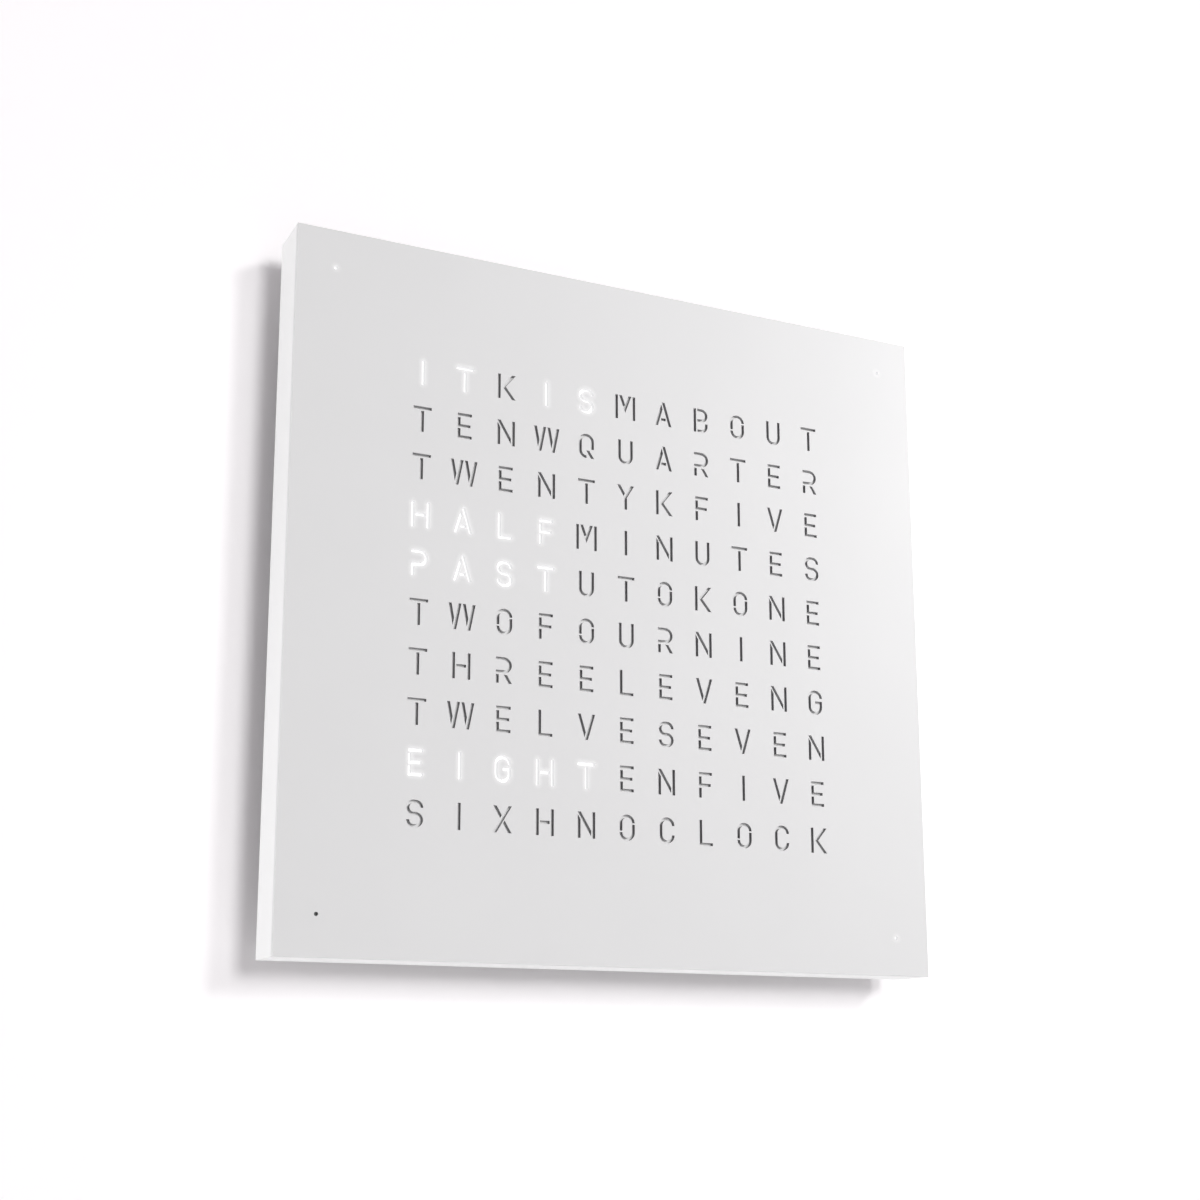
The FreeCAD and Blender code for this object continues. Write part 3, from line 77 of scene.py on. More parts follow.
camera_data = bpy.data.cameras.new("camera")
camera_data.lens = LENS_MM
camera_data.sensor_width = SENSOR_MM
camera_data.shift_x = SHIFT_RIGHT
camera_data.shift_y = SHIFT_UP
camera = put_in_scene("camera", camera_data)
sight = Vector((math.sin(CAMERA_YAW) * math.cos(CAMERA_PITCH),
                math.cos(CAMERA_YAW) * math.cos(CAMERA_PITCH), math.sin(CAMERA_PITCH)))
camera.location = CAMERA_PLACE
camera.rotation_euler = sight.to_track_quat("-Z", "Y").to_euler()
bpy.context.scene.camera = camera
bpy.context.scene.view_settings.view_transform = "Standard"
print("the camera is", round(camera.location.length, 3), "m from the middle of the clock's back")

# %% [markdown]
# Colours are written as sRGB hex, the way a paint card gives them, and shaders want them linear, so
# one function turns them. A node could be added and wired line by line, but a finish has a dozen of
# them. One small function adds a node whole: its settings are named, an input that is a node or a
# socket is linked, and any other input is typed in, a hex code as its linear colour.

# %% Colours and nodes
def linear(hex_code):
    """An sRGB hex colour as the linear colour that a shader takes."""
    parts = [int(hex_code[at:at + 2], 16) / 255 for at in (1, 3, 5)]
    return [part / 12.92 if part <= 0.04045 else ((part + 0.055) / 1.055) ** 2.4 for part in parts] + [1]


def add(tree, kind, inputs=None, **settings):
    """Adds one node with its settings and its links or values."""
    node = tree.nodes.new("ShaderNode" + kind)
    for name, value in settings.items():
        setattr(node, name, value)
    for key, value in (inputs or {}).items():
        named = [socket for socket in node.inputs if socket.enabled and socket.name == key]
        socket = named[0] if named else node.inputs[key]
        if isinstance(value, bpy.types.Node):
            value = [output for output in value.outputs if output.enabled][0]
        if isinstance(value, bpy.types.NodeSocket):
            tree.links.new(value, socket)
        else:
            socket.default_value = linear(value) if isinstance(value, str) else value
    return node


def start_finish(name):
    """A new material, its node tree, and the place on the piece in metres."""
    material = bpy.data.materials.new(name)
    material.use_nodes = True
    material.node_tree.nodes.clear()
    return material, material.node_tree, add(material.node_tree, "TexCoord").outputs["Object"]


print("the middle grey #808080 is", round(linear("#808080")[0], 3), "in linear light")

# %% [markdown]
# The letters that shine read IT IS HALF PAST EIGHT, and three of the four corner dots are on, one for
# each minute past the words. A painted picture could say where the light is, but a few boxes say it
# too, and can be changed to any other time. A box's mask is two comparisons, one across and one up,
# multiplied. The boxes never overlap, so their masks are simply added.

# %% Where the light is on
COLUMNS = 11
ROWS = 10
COLUMN_PITCH = 28.25 * MM
ROW_PITCH = 31 * MM
MATRIX_RISE = 1.5 * MM
MIDDLE_COLUMN = (COLUMNS - 1) / 2
TOP_ROW = MATRIX_RISE + (ROWS - 1) / 2 * ROW_PITCH
DOT_PLACE = 200 * MM
DOT_REACH = 8 * MM
# A run is a row with its first and last lit column, counted from 0 at the upper left.
LIT_RUNS = [(0, 0, 1), (0, 3, 4), (3, 0, 3), (4, 0, 3), (8, 0, 4)]
# A dot is its side, left or right of the middle, and its rise, above or below it.
LIT_DOTS = [(-1, 1), (1, 1), (1, -1)]

# A box is its middle across, half its width, its middle up, and half its height.
word_boxes = [(((first + last) / 2 - MIDDLE_COLUMN) * COLUMN_PITCH, (last - first + 1) / 2 * COLUMN_PITCH,
               TOP_ROW - row * ROW_PITCH, ROW_PITCH / 2) for row, first, last in LIT_RUNS]
dot_boxes = [(side * DOT_PLACE, DOT_REACH, rise * DOT_PLACE, DOT_REACH) for side, rise in LIT_DOTS]
print(len(word_boxes), "lit runs of letters and", len(dot_boxes), "lit dots")


def lit_mask(tree, place, boxes):
    """1 inside the boxes, 0 elsewhere."""
    at = add(tree, "SeparateXYZ", {"Vector": place})
    total = 0.0
    for across, half_width, up, half_height in boxes:
        beside = add(tree, "Math", {0: at.outputs["X"], 1: across, 2: half_width}, operation="COMPARE")
        level = add(tree, "Math", {0: at.outputs["Z"], 1: up, 2: half_height}, operation="COMPARE")
        total = add(tree, "Math", {0: beside, 1: level, 2: total}, operation="MULTIPLY_ADD")
    return total


# %% [markdown]
# Powder coat is a baked polymer paint. It flows into a very shallow orange peel, a few millimetres from
# crest to crest, over a fine grit, and its gloss is low: the eye sees an even white with soft edges to
# every highlight. Waves this shallow would need millions of faces as real shape, so the peel and the
# grit are two bumps, one on the other. The tone drifts by a percent or so over a hand's width.

# %% Powder coat on the shell
PEEL_MM = 2.6
PEEL_DEPTH_MM = 0.012
GRIT_MM = 0.35
GRIT_DEPTH_MM = 0.004
DRIFT_MM = 90
# The cover's white is darker than the shell's: painted shade on the front face, which gets less light than
# the sides.
SHELL_PAINT = ("#EEEEEE", "#EBEBEB")
SHADED_COVER_PAINT = ("#DADADA", "#D7D7D7")
PAINT_GLOSS = 0.3
PAINT_ROUGH = (0.52, 0.6)


def paint_coat(tree, place, tones):
    """Colour, roughness and relief of the white paint."""
    drift = add(tree, "TexNoise", {"Vector": place, "Scale": 1 / (DRIFT_MM * MM), "Detail": 4.0})
    colour = add(tree, "Mix", {"Factor": drift, "A": tones[0], "B": tones[1]}, data_type="RGBA")
    rough = add(tree, "MapRange", {"Value": drift, "To Min": PAINT_ROUGH[0], "To Max": PAINT_ROUGH[1]})
    peel = add(tree, "TexNoise", {"Vector": place, "Scale": 1 / (PEEL_MM * MM), "Detail": 1.0})
    grit = add(tree, "TexNoise", {"Vector": place, "Scale": 1 / (GRIT_MM * MM), "Detail": 2.0})
    waves = add(tree, "Bump", {"Height": peel, "Distance": PEEL_DEPTH_MM * MM})
    relief = add(tree, "Bump", {"Height": grit, "Distance": GRIT_DEPTH_MM * MM, "Normal": waves})
    return colour, rough, relief


def shell_paint():
    """White powder coat on the sides and back of the body."""
    material, tree, place = start_finish("powder_coat_white")
    colour, rough, relief = paint_coat(tree, place, SHELL_PAINT)
    shader = add(tree, "BsdfPrincipled", {"Base Color": colour, "Roughness": rough, "Normal": relief,
                                          "Specular IOR Level": PAINT_GLOSS})
    add(tree, "OutputMaterial", {"Surface": shader})
    return material


# %% [markdown]
# The letters were cut by laser after the cover was painted, so their walls are bare metal, greyer than
# the paint. Their grey also holds painted shade: it is darker for the shade inside cuts this narrow,
# and darker on the side walls than on the walls that face up or down, as the light falls. A wall is a
# face whose normal lies in the plane of the clock, inside the cover's rim. Where a letter is lit, light
# creeps into the paint beside the cut. The LEDs could light the cuts as they really do, but through
# slots two millimetres wide that takes very many samples to come out clean. So the glow is painted on:
# ambient occlusion that looks inside the plate finds the cuts close by, and that becomes a soft glow
# along them. The walls of a lit letter shine by themselves too, the side walls more than the others.

# %% Powder coat on the cover
# Painted shade: the letter walls are grey for the shade in the narrow cuts, the side walls darkest.
CUT_SIDE_SHADE = "#88888A"
CUT_LEVEL_SHADE = "#C4C4C5"
CUT_FIELD = 222 * MM
IN_PLANE = 0.5
GLOW_REACH = 2.9 * MM
GLOW_FULL = 0.45
GLOW_SAMPLES = 8
RIM_GLOW = 0.14
SIDE_GLOW = 0.53
LEVEL_GLOW = 0.34


def cover_paint():
    """White powder coat, with painted shade on the letter walls and the painted glow about the lit letters.
    """
    material, tree, place = start_finish("powder_coat_cut_shade_and_glow")
    colour, rough, relief = paint_coat(tree, place, SHADED_COVER_PAINT)
    turned = add(tree, "SeparateXYZ", {"Vector": add(tree, "NewGeometry").outputs["True Normal"]})
    at = add(tree, "SeparateXYZ", {"Vector": place})
    upright = add(tree, "Math", {0: turned.outputs["Y"], 1: 0.0, 2: IN_PLANE}, operation="COMPARE")
    beside = add(tree, "Math", {0: at.outputs["X"], 1: 0.0, 2: CUT_FIELD}, operation="COMPARE")
    level = add(tree, "Math", {0: at.outputs["Z"], 1: 0.0, 2: CUT_FIELD}, operation="COMPARE")
    field = add(tree, "Math", {0: beside, 1: level}, operation="MULTIPLY")
    walls = add(tree, "Math", {0: upright, 1: field}, operation="MULTIPLY")
    facing_up = add(tree, "Math", {0: turned.outputs["Z"]}, operation="ABSOLUTE")
    # Painted shade in the cuts: side walls darker, walls facing up or down lighter.
    cut_shade = add(tree, "Mix", {"Factor": facing_up, "A": CUT_SIDE_SHADE, "B": CUT_LEVEL_SHADE}, data_type="RGBA")
    painted = add(tree, "Mix", {"Factor": walls, "A": colour, "B": cut_shade}, data_type="RGBA")
    near_cut = add(tree, "AmbientOcclusion", {"Distance": GLOW_REACH}, inside=True, only_local=True,
                   samples=GLOW_SAMPLES)
    rim = add(tree, "MapRange", {"Value": near_cut.outputs["AO"], "From Min": 1.0, "From Max": GLOW_FULL,
                                 "To Min": 0.0, "To Max": RIM_GLOW})
    cut_glow = add(tree, "MapRange", {"Value": facing_up, "To Min": SIDE_GLOW, "To Max": LEVEL_GLOW})
    glow = add(tree, "Mix", {"Factor": walls, "A": rim, "B": cut_glow}, data_type="FLOAT")
    lit = lit_mask(tree, place, word_boxes + dot_boxes)
    shine = add(tree, "Math", {0: glow, 1: lit}, operation="MULTIPLY")
    shader = add(tree, "BsdfPrincipled", {"Base Color": painted, "Roughness": rough, "Normal": relief,
                                          "Specular IOR Level": PAINT_GLOSS, "Emission Color": "#FFFFFF",
                                          "Emission Strength": shine})
    add(tree, "OutputMaterial", {"Surface": shader})
    return material


# %% [markdown]
# Behind the cover each letter has a chamber with an LED in its middle, so the glow on the opal sheet
# fades toward the chamber's walls. A round spot at every LED would need a hundred centres. `PINGPONG`
# counts up and down from one middle to the next, and so gives the distance from the nearest, however
# many there are. It is used once across and once up.

# %% The glow of a chamber
CHAMBER_BRIGHT = 8.5 * MM
CHAMBER_EDGE = 0.25


def chamber_glow(tree, distance, half_pitch):
    """1 in the middle of a chamber, fading toward its walls in one direction."""
    away = add(tree, "Math", {0: distance, 1: half_pitch}, operation="PINGPONG")
    return add(tree, "MapRange", {"Value": away, "From Min": CHAMBER_BRIGHT, "From Max": half_pitch,
                                  "To Min": 1.0, "To Max": CHAMBER_EDGE}, interpolation_type="SMOOTHSTEP")


# %% [markdown]
# The opal sheet is cast acrylic, milky all the way through, with the faint matt of its casting. Unlit
# it is a soft white with a little light that strays between the chambers, and over a lit LED it is
# brighter than the paint around it. Light that scatters inside a sheet is slow to render, and all that
# is seen of it is the glow at its face, so the face shines by itself. The corner dots have light tubes
# of their own, which are brighter. The dot at the lower left has its light off, and the opal behind its
# narrow hole is painted dark grey: painted shade for the dark inside the hole.

# %% Opal acrylic
OPAL_MILK = ("#EFEFEE", "#E9E9E9")
# Painted shade: the opal behind the unlit lower-left dot is dark grey.
OPAL_DOT_SHADE = "#2A2A2C"
OPAL_ROUGH = (0.34, 0.44)
ACRYLIC_IOR = 1.49
OPAL_GLOW = 0.54
DOT_GLOW = 0.7
OPAL_STRAY = 0.05
MATT_MM = 0.8
MATT_DEPTH_MM = 0.01
CLOUD_MM = 35


def opal_sheet():
    """Milky acrylic that shines over the lit LEDs."""
    material, tree, place = start_finish("opal_acrylic_cast")
    at = add(tree, "SeparateXYZ", {"Vector": place})
    # Painted shade: a dark grey patch on the opal behind the unlit dot at the lower left.
    left = add(tree, "Math", {0: at.outputs["X"], 1: -DOT_PLACE, 2: DOT_REACH}, operation="COMPARE")
    low = add(tree, "Math", {0: at.outputs["Z"], 1: -DOT_PLACE, 2: DOT_REACH}, operation="COMPARE")
    shaded_dot = add(tree, "Math", {0: left, 1: low}, operation="MULTIPLY")
    clouds = add(tree, "TexNoise", {"Vector": place, "Scale": 1 / (CLOUD_MM * MM), "Detail": 3.0})
    milk = add(tree, "Mix", {"Factor": clouds, "A": OPAL_MILK[0], "B": OPAL_MILK[1]}, data_type="RGBA")
    colour = add(tree, "Mix", {"Factor": shaded_dot, "A": milk, "B": OPAL_DOT_SHADE}, data_type="RGBA")
    matt = add(tree, "TexNoise", {"Vector": place, "Scale": 1 / (MATT_MM * MM), "Detail": 2.0})
    relief = add(tree, "Bump", {"Height": matt, "Distance": MATT_DEPTH_MM * MM})
    rough = add(tree, "MapRange", {"Value": matt, "To Min": OPAL_ROUGH[0], "To Max": OPAL_ROUGH[1]})
    below_top = add(tree, "Math", {0: at.outputs["Z"], 1: TOP_ROW}, operation="SUBTRACT")
    chamber = add(tree, "Math", {0: chamber_glow(tree, at.outputs["X"], COLUMN_PITCH / 2),
                                 1: chamber_glow(tree, below_top, ROW_PITCH / 2)}, operation="MULTIPLY")
    lit = add(tree, "Math", {0: lit_mask(tree, place, word_boxes), 1: chamber}, operation="MULTIPLY")
    words = add(tree, "Math", {0: lit, 1: OPAL_GLOW, 2: OPAL_STRAY}, operation="MULTIPLY_ADD")
    shine = add(tree, "Math", {0: lit_mask(tree, place, dot_boxes), 1: DOT_GLOW, 2: words},
                operation="MULTIPLY_ADD")
    shader = add(tree, "BsdfPrincipled", {"Base Color": colour, "Roughness": rough, "Normal": relief,
                                          "IOR": ACRYLIC_IOR, "Emission Color": "#FFFFFF",
                                          "Emission Strength": shine})
    add(tree, "OutputMaterial", {"Surface": shader})
    return material


# %% [markdown]
# Moulded plastics keep the texture of their steel mould. Outer faces are spark eroded to a fine, even
# grain, and inner pieces are plainer and glossier. A picture of the grain would have to be wrapped
# round every piece. Noise that reads Object coordinates needs no wrapping, and has its true size on all
# of them. One function serves every plastic: each gets its colour, the colour it drifts to where the
# melt flowed, the size and depth of its grain, and its roughness.

# %% Moulded plastic
FLOW_MM = 40
GLOSS_SPREAD = 0.06


def moulded(name, colour, drifted, grain_mm, depth_mm, rough):
    """Injection-moulded plastic with the grain of its mould."""
    material, tree, place = start_finish(name)
    flow = add(tree, "TexNoise", {"Vector": place, "Scale": 1 / (FLOW_MM * MM), "Detail": 4.0})
    tone = add(tree, "Mix", {"Factor": flow, "A": colour, "B": drifted}, data_type="RGBA")
    grain = add(tree, "TexNoise", {"Vector": place, "Scale": 1 / (grain_mm * MM), "Detail": 2.0})
    gloss = add(tree, "MapRange", {"Value": grain, "To Min": rough - GLOSS_SPREAD,
                                   "To Max": rough + GLOSS_SPREAD})
    relief = add(tree, "Bump", {"Height": grain, "Distance": depth_mm * MM})
    shader = add(tree, "BsdfPrincipled", {"Base Color": tone, "Roughness": gloss, "Normal": relief})
    add(tree, "OutputMaterial", {"Surface": shader})
    return material


# %% [markdown]
# Metal pieces differ in how they were made: sheet is rolled one way, pins are turned on a lathe, and
# small hardware is plated with zinc or nickel. A metal's look is its tint, its roughness and the run of
# its fine marks. The shader's own anisotropy would need tangents on every piece, so one function
# stretches its noise along an axis with a Mapping node, which draws the marks themselves. Plating also
# shows a faint bloom of a second tint.

# %% Metal
BLOOM_MM = 7
SMOOTHER = 0.07
ROUGHER = 0.1


def metal(name, colour, bloomed, rough, marks_mm, stretch, depth_mm):
    """Plated, rolled or turned metal; its marks run along the axes where stretch is small."""
    material, tree, place = start_finish(name)
    bloom = add(tree, "TexNoise", {"Vector": place, "Scale": 1 / (BLOOM_MM * MM), "Detail": 4.0})
    tone = add(tree, "Mix", {"Factor": bloom, "A": colour, "B": bloomed}, data_type="RGBA")
    drawn = add(tree, "Mapping", {"Vector": place, "Scale": stretch})
    marks = add(tree, "TexNoise", {"Vector": drawn, "Scale": 1 / (marks_mm * MM), "Detail": 3.0})
    gloss = add(tree, "MapRange", {"Value": marks, "To Min": rough - SMOOTHER, "To Max": rough + ROUGHER})
    relief = add(tree, "Bump", {"Height": marks, "Distance": depth_mm * MM})
    shader = add(tree, "BsdfPrincipled", {"Base Color": tone, "Metallic": 1.0, "Roughness": gloss,
                                          "Normal": relief})
    add(tree, "OutputMaterial", {"Surface": shader})
    return material


# %% [markdown]
# Circuit boards are glass-fibre laminate under a coloured lacquer, and their copper tracks stand up
# under it as lighter lines. Real routing could be drawn line by line, but a brick pattern gives lines
# that run straight and meet at right angles, close enough at this size. It lies in the plane of the
# clock, so the place is turned about the x axis first.

# %% Circuit board
TRACK_GAPS = 1.4
TRACK_RUN = 7
TRACK_WIDTH = 0.18
TRACK_DEPTH_MM = 0.03
WEAVE_MM = 0.9
LACQUER_ROUGH = (0.3, 0.42)
LACQUER_COAT = 0.3


def circuit_board(name, lacquer, copper, track_mm):
    """Lacquered laminate with copper tracks under the lacquer."""
    material, tree, place = start_finish(name)
    flat = add(tree, "Mapping", {"Vector": place, "Rotation": (math.pi / 2, 0, 0)})
    tracks = add(tree, "TexBrick", {"Vector": flat, "Scale": 1.0, "Mortar Size": TRACK_WIDTH * track_mm * MM,
                                    "Brick Width": TRACK_RUN * track_mm * MM,
                                    "Row Height": TRACK_GAPS * track_mm * MM}).outputs["Fac"]
    tone = add(tree, "Mix", {"Factor": tracks, "A": lacquer, "B": copper}, data_type="RGBA")
    weave = add(tree, "TexNoise", {"Vector": place, "Scale": 1 / (WEAVE_MM * MM), "Detail": 2.0})
    gloss = add(tree, "MapRange", {"Value": weave, "To Min": LACQUER_ROUGH[0], "To Max": LACQUER_ROUGH[1]})
    relief = add(tree, "Bump", {"Height": tracks, "Distance": TRACK_DEPTH_MM * MM})
    shader = add(tree, "BsdfPrincipled", {"Base Color": tone, "Roughness": gloss, "Normal": relief,
                                          "Coat Weight": LACQUER_COAT})
    add(tree, "OutputMaterial", {"Surface": shader})
    return material


# %% [markdown]
# Wires are insulated with soft PVC, matt and a little waxy, with faint marks from the extruder. It could
# share the plastics' function, but it has no grain of a mould and one even roughness, so it has a
# shorter one of its own.

# %% PVC insulation
PVC_ROUGH = 0.45
EXTRUDED_MM = 0.5
EXTRUDED_DEPTH_MM = 0.01


def insulation(name, colour, drifted):
    """Extruded PVC on a round wire."""
    material, tree, place = start_finish(name)
    lines = add(tree, "TexNoise", {"Vector": place, "Scale": 1 / (EXTRUDED_MM * MM), "Detail": 2.0})
    tone = add(tree, "Mix", {"Factor": lines, "A": colour, "B": drifted}, data_type="RGBA")
    relief = add(tree, "Bump", {"Height": lines, "Distance": EXTRUDED_DEPTH_MM * MM})
    shader = add(tree, "BsdfPrincipled", {"Base Color": tone, "Roughness": PVC_ROUGH, "Normal": relief})
    add(tree, "OutputMaterial", {"Surface": shader})
    return material


# %% [markdown]
# The flat ribbon has one rib for each conductor, and its first conductor is red. The ribs could be
# modelled, but the ribbon's shape belongs to the construction, so a cosine across its width draws them
# as a bump.

# %% Ribbon cable
RIBBON_GREY = "#9B9C9E"
RIBBON_RED = "#B4282A"
RIBBON_ROUGH = 0.42
RIBBON_RIB = 1.27 * MM
RIBBON_FIRST = -6.4 * MM
RIB_DEPTH = 0.15 * MM


def ribbon_insulation():
    """Grey ribbon cable with its ribs and one red edge."""
    material, tree, place = start_finish("ribbon_pvc_grey")
    at = add(tree, "SeparateXYZ", {"Vector": place})
    turn = add(tree, "Math", {0: at.outputs["X"], 1: 2 * math.pi / RIBBON_RIB}, operation="MULTIPLY")
    ribs = add(tree, "Math", {0: turn}, operation="COSINE")
    first = add(tree, "Math", {0: at.outputs["X"], 1: RIBBON_FIRST, 2: RIBBON_RIB / 2}, operation="COMPARE")
    tone = add(tree, "Mix", {"Factor": first, "A": RIBBON_GREY, "B": RIBBON_RED}, data_type="RGBA")
    relief = add(tree, "Bump", {"Height": ribs, "Distance": RIB_DEPTH})
    shader = add(tree, "BsdfPrincipled", {"Base Color": tone, "Roughness": RIBBON_ROUGH, "Normal": relief})
    add(tree, "OutputMaterial", {"Surface": shader})
    return material


# %% [markdown]
# Each finish is made once and kept under the name of the material slot that wears it. Every piece could
# have a finish of its own, but then one change of shade would be many. The numbers after the colours of
# a plastic are the size and depth of its grain in millimetres, and its roughness. A metal has its
# roughness, the size of its marks, the way they run, and their depth. A board has the pitch that its
# tracks are drawn by.

# %% The palette
ALONG_X = (0.04, 1, 1)
EVEN = (1, 1, 1)
TURNED_ABOUT_Y = (1, 8, 1)
palette = {
    "cover_white": cover_paint(),
    "shell_white": shell_paint(),
    "opal": opal_sheet(),
    "keeper_steel": metal("zinc_plated_steel", "#B9BDC1", "#A9AEB4", 0.34, 0.5, EVEN, 0.004),
    "pin_steel": metal("turned_stainless", "#C9C9C7", "#B9B8B5", 0.24, 0.3, TURNED_ABOUT_Y, 0.003),
    "magnet_nickel": metal("nickel_plated_magnet", "#C8C5BE", "#BDB8AE", 0.18, 0.6, EVEN, 0.002),
    "grid_white": moulded("abs_white_moulded", "#E6E6E3", "#DEDEDA", 0.5, 0.01, 0.5),
    "carrier_aluminium": metal("aluminium_rolled", "#C6C8CA", "#BABCBF", 0.36, 0.25, ALONG_X, 0.006),
    "strip_board": circuit_board("strip_laminate_white", "#E4E4DF", "#D2CFBF", 1.2),
    "led_body": moulded("led_silicone_moulded", "#E9E4CF", "#E2DAB8", 0.6, 0.004, 0.35),
    "sensor_black": moulded("sensor_resin_moulded", "#17171A", "#101013", 0.4, 0.003, 0.25),
    "wire_red": insulation("jumper_pvc_red", "#A8232A", "#93191F"),
    "screw_zinc": metal("screw_blue_zinc", "#BFC4CC", "#A5ABBA", 0.27, 0.4, EVEN, 0.003),
    "housing_black": moulded("abs_black_spark_eroded", "#2B2C2E", "#242527", 0.55, 0.03, 0.55),
    "hanger_zinc": metal("hanger_zinc_sheet", "#B4B8BC", "#9EA3A9", 0.33, 0.35, ALONG_X, 0.006),
    "board_green": circuit_board("board_laminate_green", "#0E4A2B", "#1C6A3F", 1.6),
    "chip_black": moulded("chip_epoxy_moulded", "#1D1D1F", "#262628", 0.3, 0.006, 0.5),
    "crystal_can": metal("crystal_can_drawn", "#C3C4C6", "#B5B6B8", 0.22, 0.4, ALONG_X, 0.003),
    "capacitor_sleeve": moulded("capacitor_film_shrunk", "#1E2430", "#171B25", 0.8, 0.003, 0.22),
    "cell_steel": metal("cell_stainless_pressed", "#CDCDCB", "#BDBDBA", 0.2, 0.4, EVEN, 0.002),
    "inlet_black": moulded("inlet_pbt_moulded", "#1A1A1C", "#141416", 0.5, 0.008, 0.4),
    "inlet_contact": metal("contact_nickel_turned", "#CFC9B8", "#C1B99F", 0.2, 0.3, EVEN, 0.002),
    "button_white": moulded("button_polycarbonate", "#E9E9E8", "#E3E3E2", 0.6, 0.004, 0.32),
    "switch_black": moulded("switch_nylon_moulded", "#202023", "#19191B", 0.5, 0.006, 0.42),
    "plug_white": moulded("plug_nylon_moulded", "#E3DFD2", "#DAD5C5", 0.5, 0.006, 0.42),
    "ribbon_grey": ribbon_insulation(),
    "lead_black": insulation("lead_pvc_black", "#222225", "#1A1A1C"),
}
print(len(palette), "finishes")

# %% [markdown]
# The record names the material slot of every construction piece, so the pieces are dressed by reading
# it. A list of pieces and finishes could be written here too, but it would say the same thing twice. A
# construction piece keeps its shape, and only the material in its slot changes.

# %% Dress the construction
slot_of = {}
for item in frame["record"]["subparts"]:
    slot_of[item["node"]] = item["material_slot"]
    for wearing in NODES[item["node"]].material_slots:
        wearing.material = palette[item["material_slot"]]
print("dressed", len(slot_of), "pieces")

# %% [markdown]
# The construction keeps small hardware as plain cylinders and blocks, and each one is modelled here
# again at the same place. The places could be typed in, but then they would stay behind if the
# construction changed, so they are read from it: a node's mesh is split into its separate solids, by
# walking along the edges from vertex to vertex, and the box of each gives its centre and size.

# %% Places of the separate solids
MERGE_GAP = 0.001 * MM


def solids(label):
    """The (low, high) corners of every separate solid of a node, in a fixed order."""
    work = bmesh.new()
    work.from_mesh(NODES[label].data)
    bmesh.ops.remove_doubles(work, verts=work.verts, dist=MERGE_GAP)
    unseen = set(work.verts)
    boxes = []
    for start in work.verts:
        if start not in unseen:
            continue
        unseen.discard(start)
        reached = [start]
        for vertex in reached:
            for edge in vertex.link_edges:
                other = edge.other_vert(vertex)
                if other in unseen:
                    unseen.discard(other)
                    reached.append(other)
        sides = [[vertex.co[axis] for vertex in reached] for axis in range(3)]
        boxes.append((Vector([min(side) for side in sides]), Vector([max(side) for side in sides])))
    work.free()
    return sorted(boxes, key=lambda box: [round(value, 4) for value in (*box[0], *box[1])])


print(len(solids("leds")), "LEDs and", len(solids("magnets")), "magnets")

# %% [markdown]
# Every new piece ends the same way: its normals are made to point outwards, its flat faces keep sharp
# edges while its round ones are shaded smooth, it is told which body it rides on, and the construction
# pieces that it stands for are hidden. One function does this for all of them, so none can be left
# behind when the clock moves.

# %% Finish a new piece
SHARP_ANGLE = math.radians(32)


def as_mesh(work, name):
    """Turns a bmesh into a mesh, and frees it."""
    mesh = bpy.data.meshes.new(name)
    work.to_mesh(mesh)
    work.free()
    return mesh


def finish_piece(work, name, body, *replaced, slot=None):
    """Turns a bmesh into an object that rides on a body and stands for construction pieces."""
    slot = slot or slot_of[replaced[0]]
    bmesh.ops.recalc_face_normals(work, faces=work.faces)
    mesh = as_mesh(work, name)
    mesh.shade_smooth()
    mesh.set_sharp_from_angle(angle=SHARP_ANGLE)
    mesh.materials.append(palette[slot])
    item = put_in_scene(name, mesh)
    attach(item, body)
    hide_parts(*replaced)
    print(name, len(mesh.polygons), "faces")


# %% [markdown]
# Pins, discs, buttons and screws are turned on a lathe, and `spin` is the lathe: a profile of (radius,
# height) points goes round its axis. A cylinder with bevelled edges would do for the simplest of them,
# but a profile can have any groove, dish or dome. The first and last points lie on the axis, so the
# shape is closed. It is spun upright and then stood in its place with its top toward a direction.

# %% The lathe
TURN_STEPS = 40


def stand(centre, direction):
    """The matrix that puts an upright shape at centre with its top toward direction."""
    return Matrix.Translation(centre) @ Vector(direction).to_track_quat("Z", "Y").to_matrix().to_4x4()


def spin_profile(work, profile, steps=TURN_STEPS):
    """Spins a profile of (radius, height) points round the upright axis."""
    points = [work.verts.new((radius, 0, height)) for radius, height in profile]
    edges = [work.edges.new((points[at], points[at + 1])) for at in range(len(points) - 1)]
    bmesh.ops.spin(work, geom=points + edges, cent=(0, 0, 0), axis=(0, 0, 1), dvec=(0, 0, 0),
                   angle=2 * math.pi, steps=steps, use_merge=True)
    bmesh.ops.remove_doubles(work, verts=work.verts, dist=MERGE_GAP)


def gather(work, shape, centre=None, direction=None):
    """Stands a shape in place, adds it to a larger one, and frees it."""
    if centre:
        bmesh.ops.transform(shape, matrix=stand(centre, direction), verts=shape.verts)
    bmesh.ops.recalc_face_normals(shape, faces=shape.faces)
    mesh = as_mesh(shape, "gathered")
    work.from_mesh(mesh)
    bpy.data.meshes.remove(mesh)


# %% [markdown]
# Eight nickel-plated magnets sit in the shell's posts and hold the cover. They have broken edges,
# because a sharp plated edge chips. A bevel could break them, but on a lathe a chamfer is only one more
# point in the profile. Their tops face the room.

# %% Magnets
CHAMFER = 0.3 * MM
TO_WALL = (0, 1, 0)
TO_ROOM = (0, -1, 0)


def disc_sides(radius, height):
    """The profile of a disc with broken edges, from the middle of its foot to the rim of its top."""
    return [(0, 0), (radius - CHAMFER, 0), (radius, CHAMFER), (radius, height - CHAMFER),
            (radius - CHAMFER, height)]


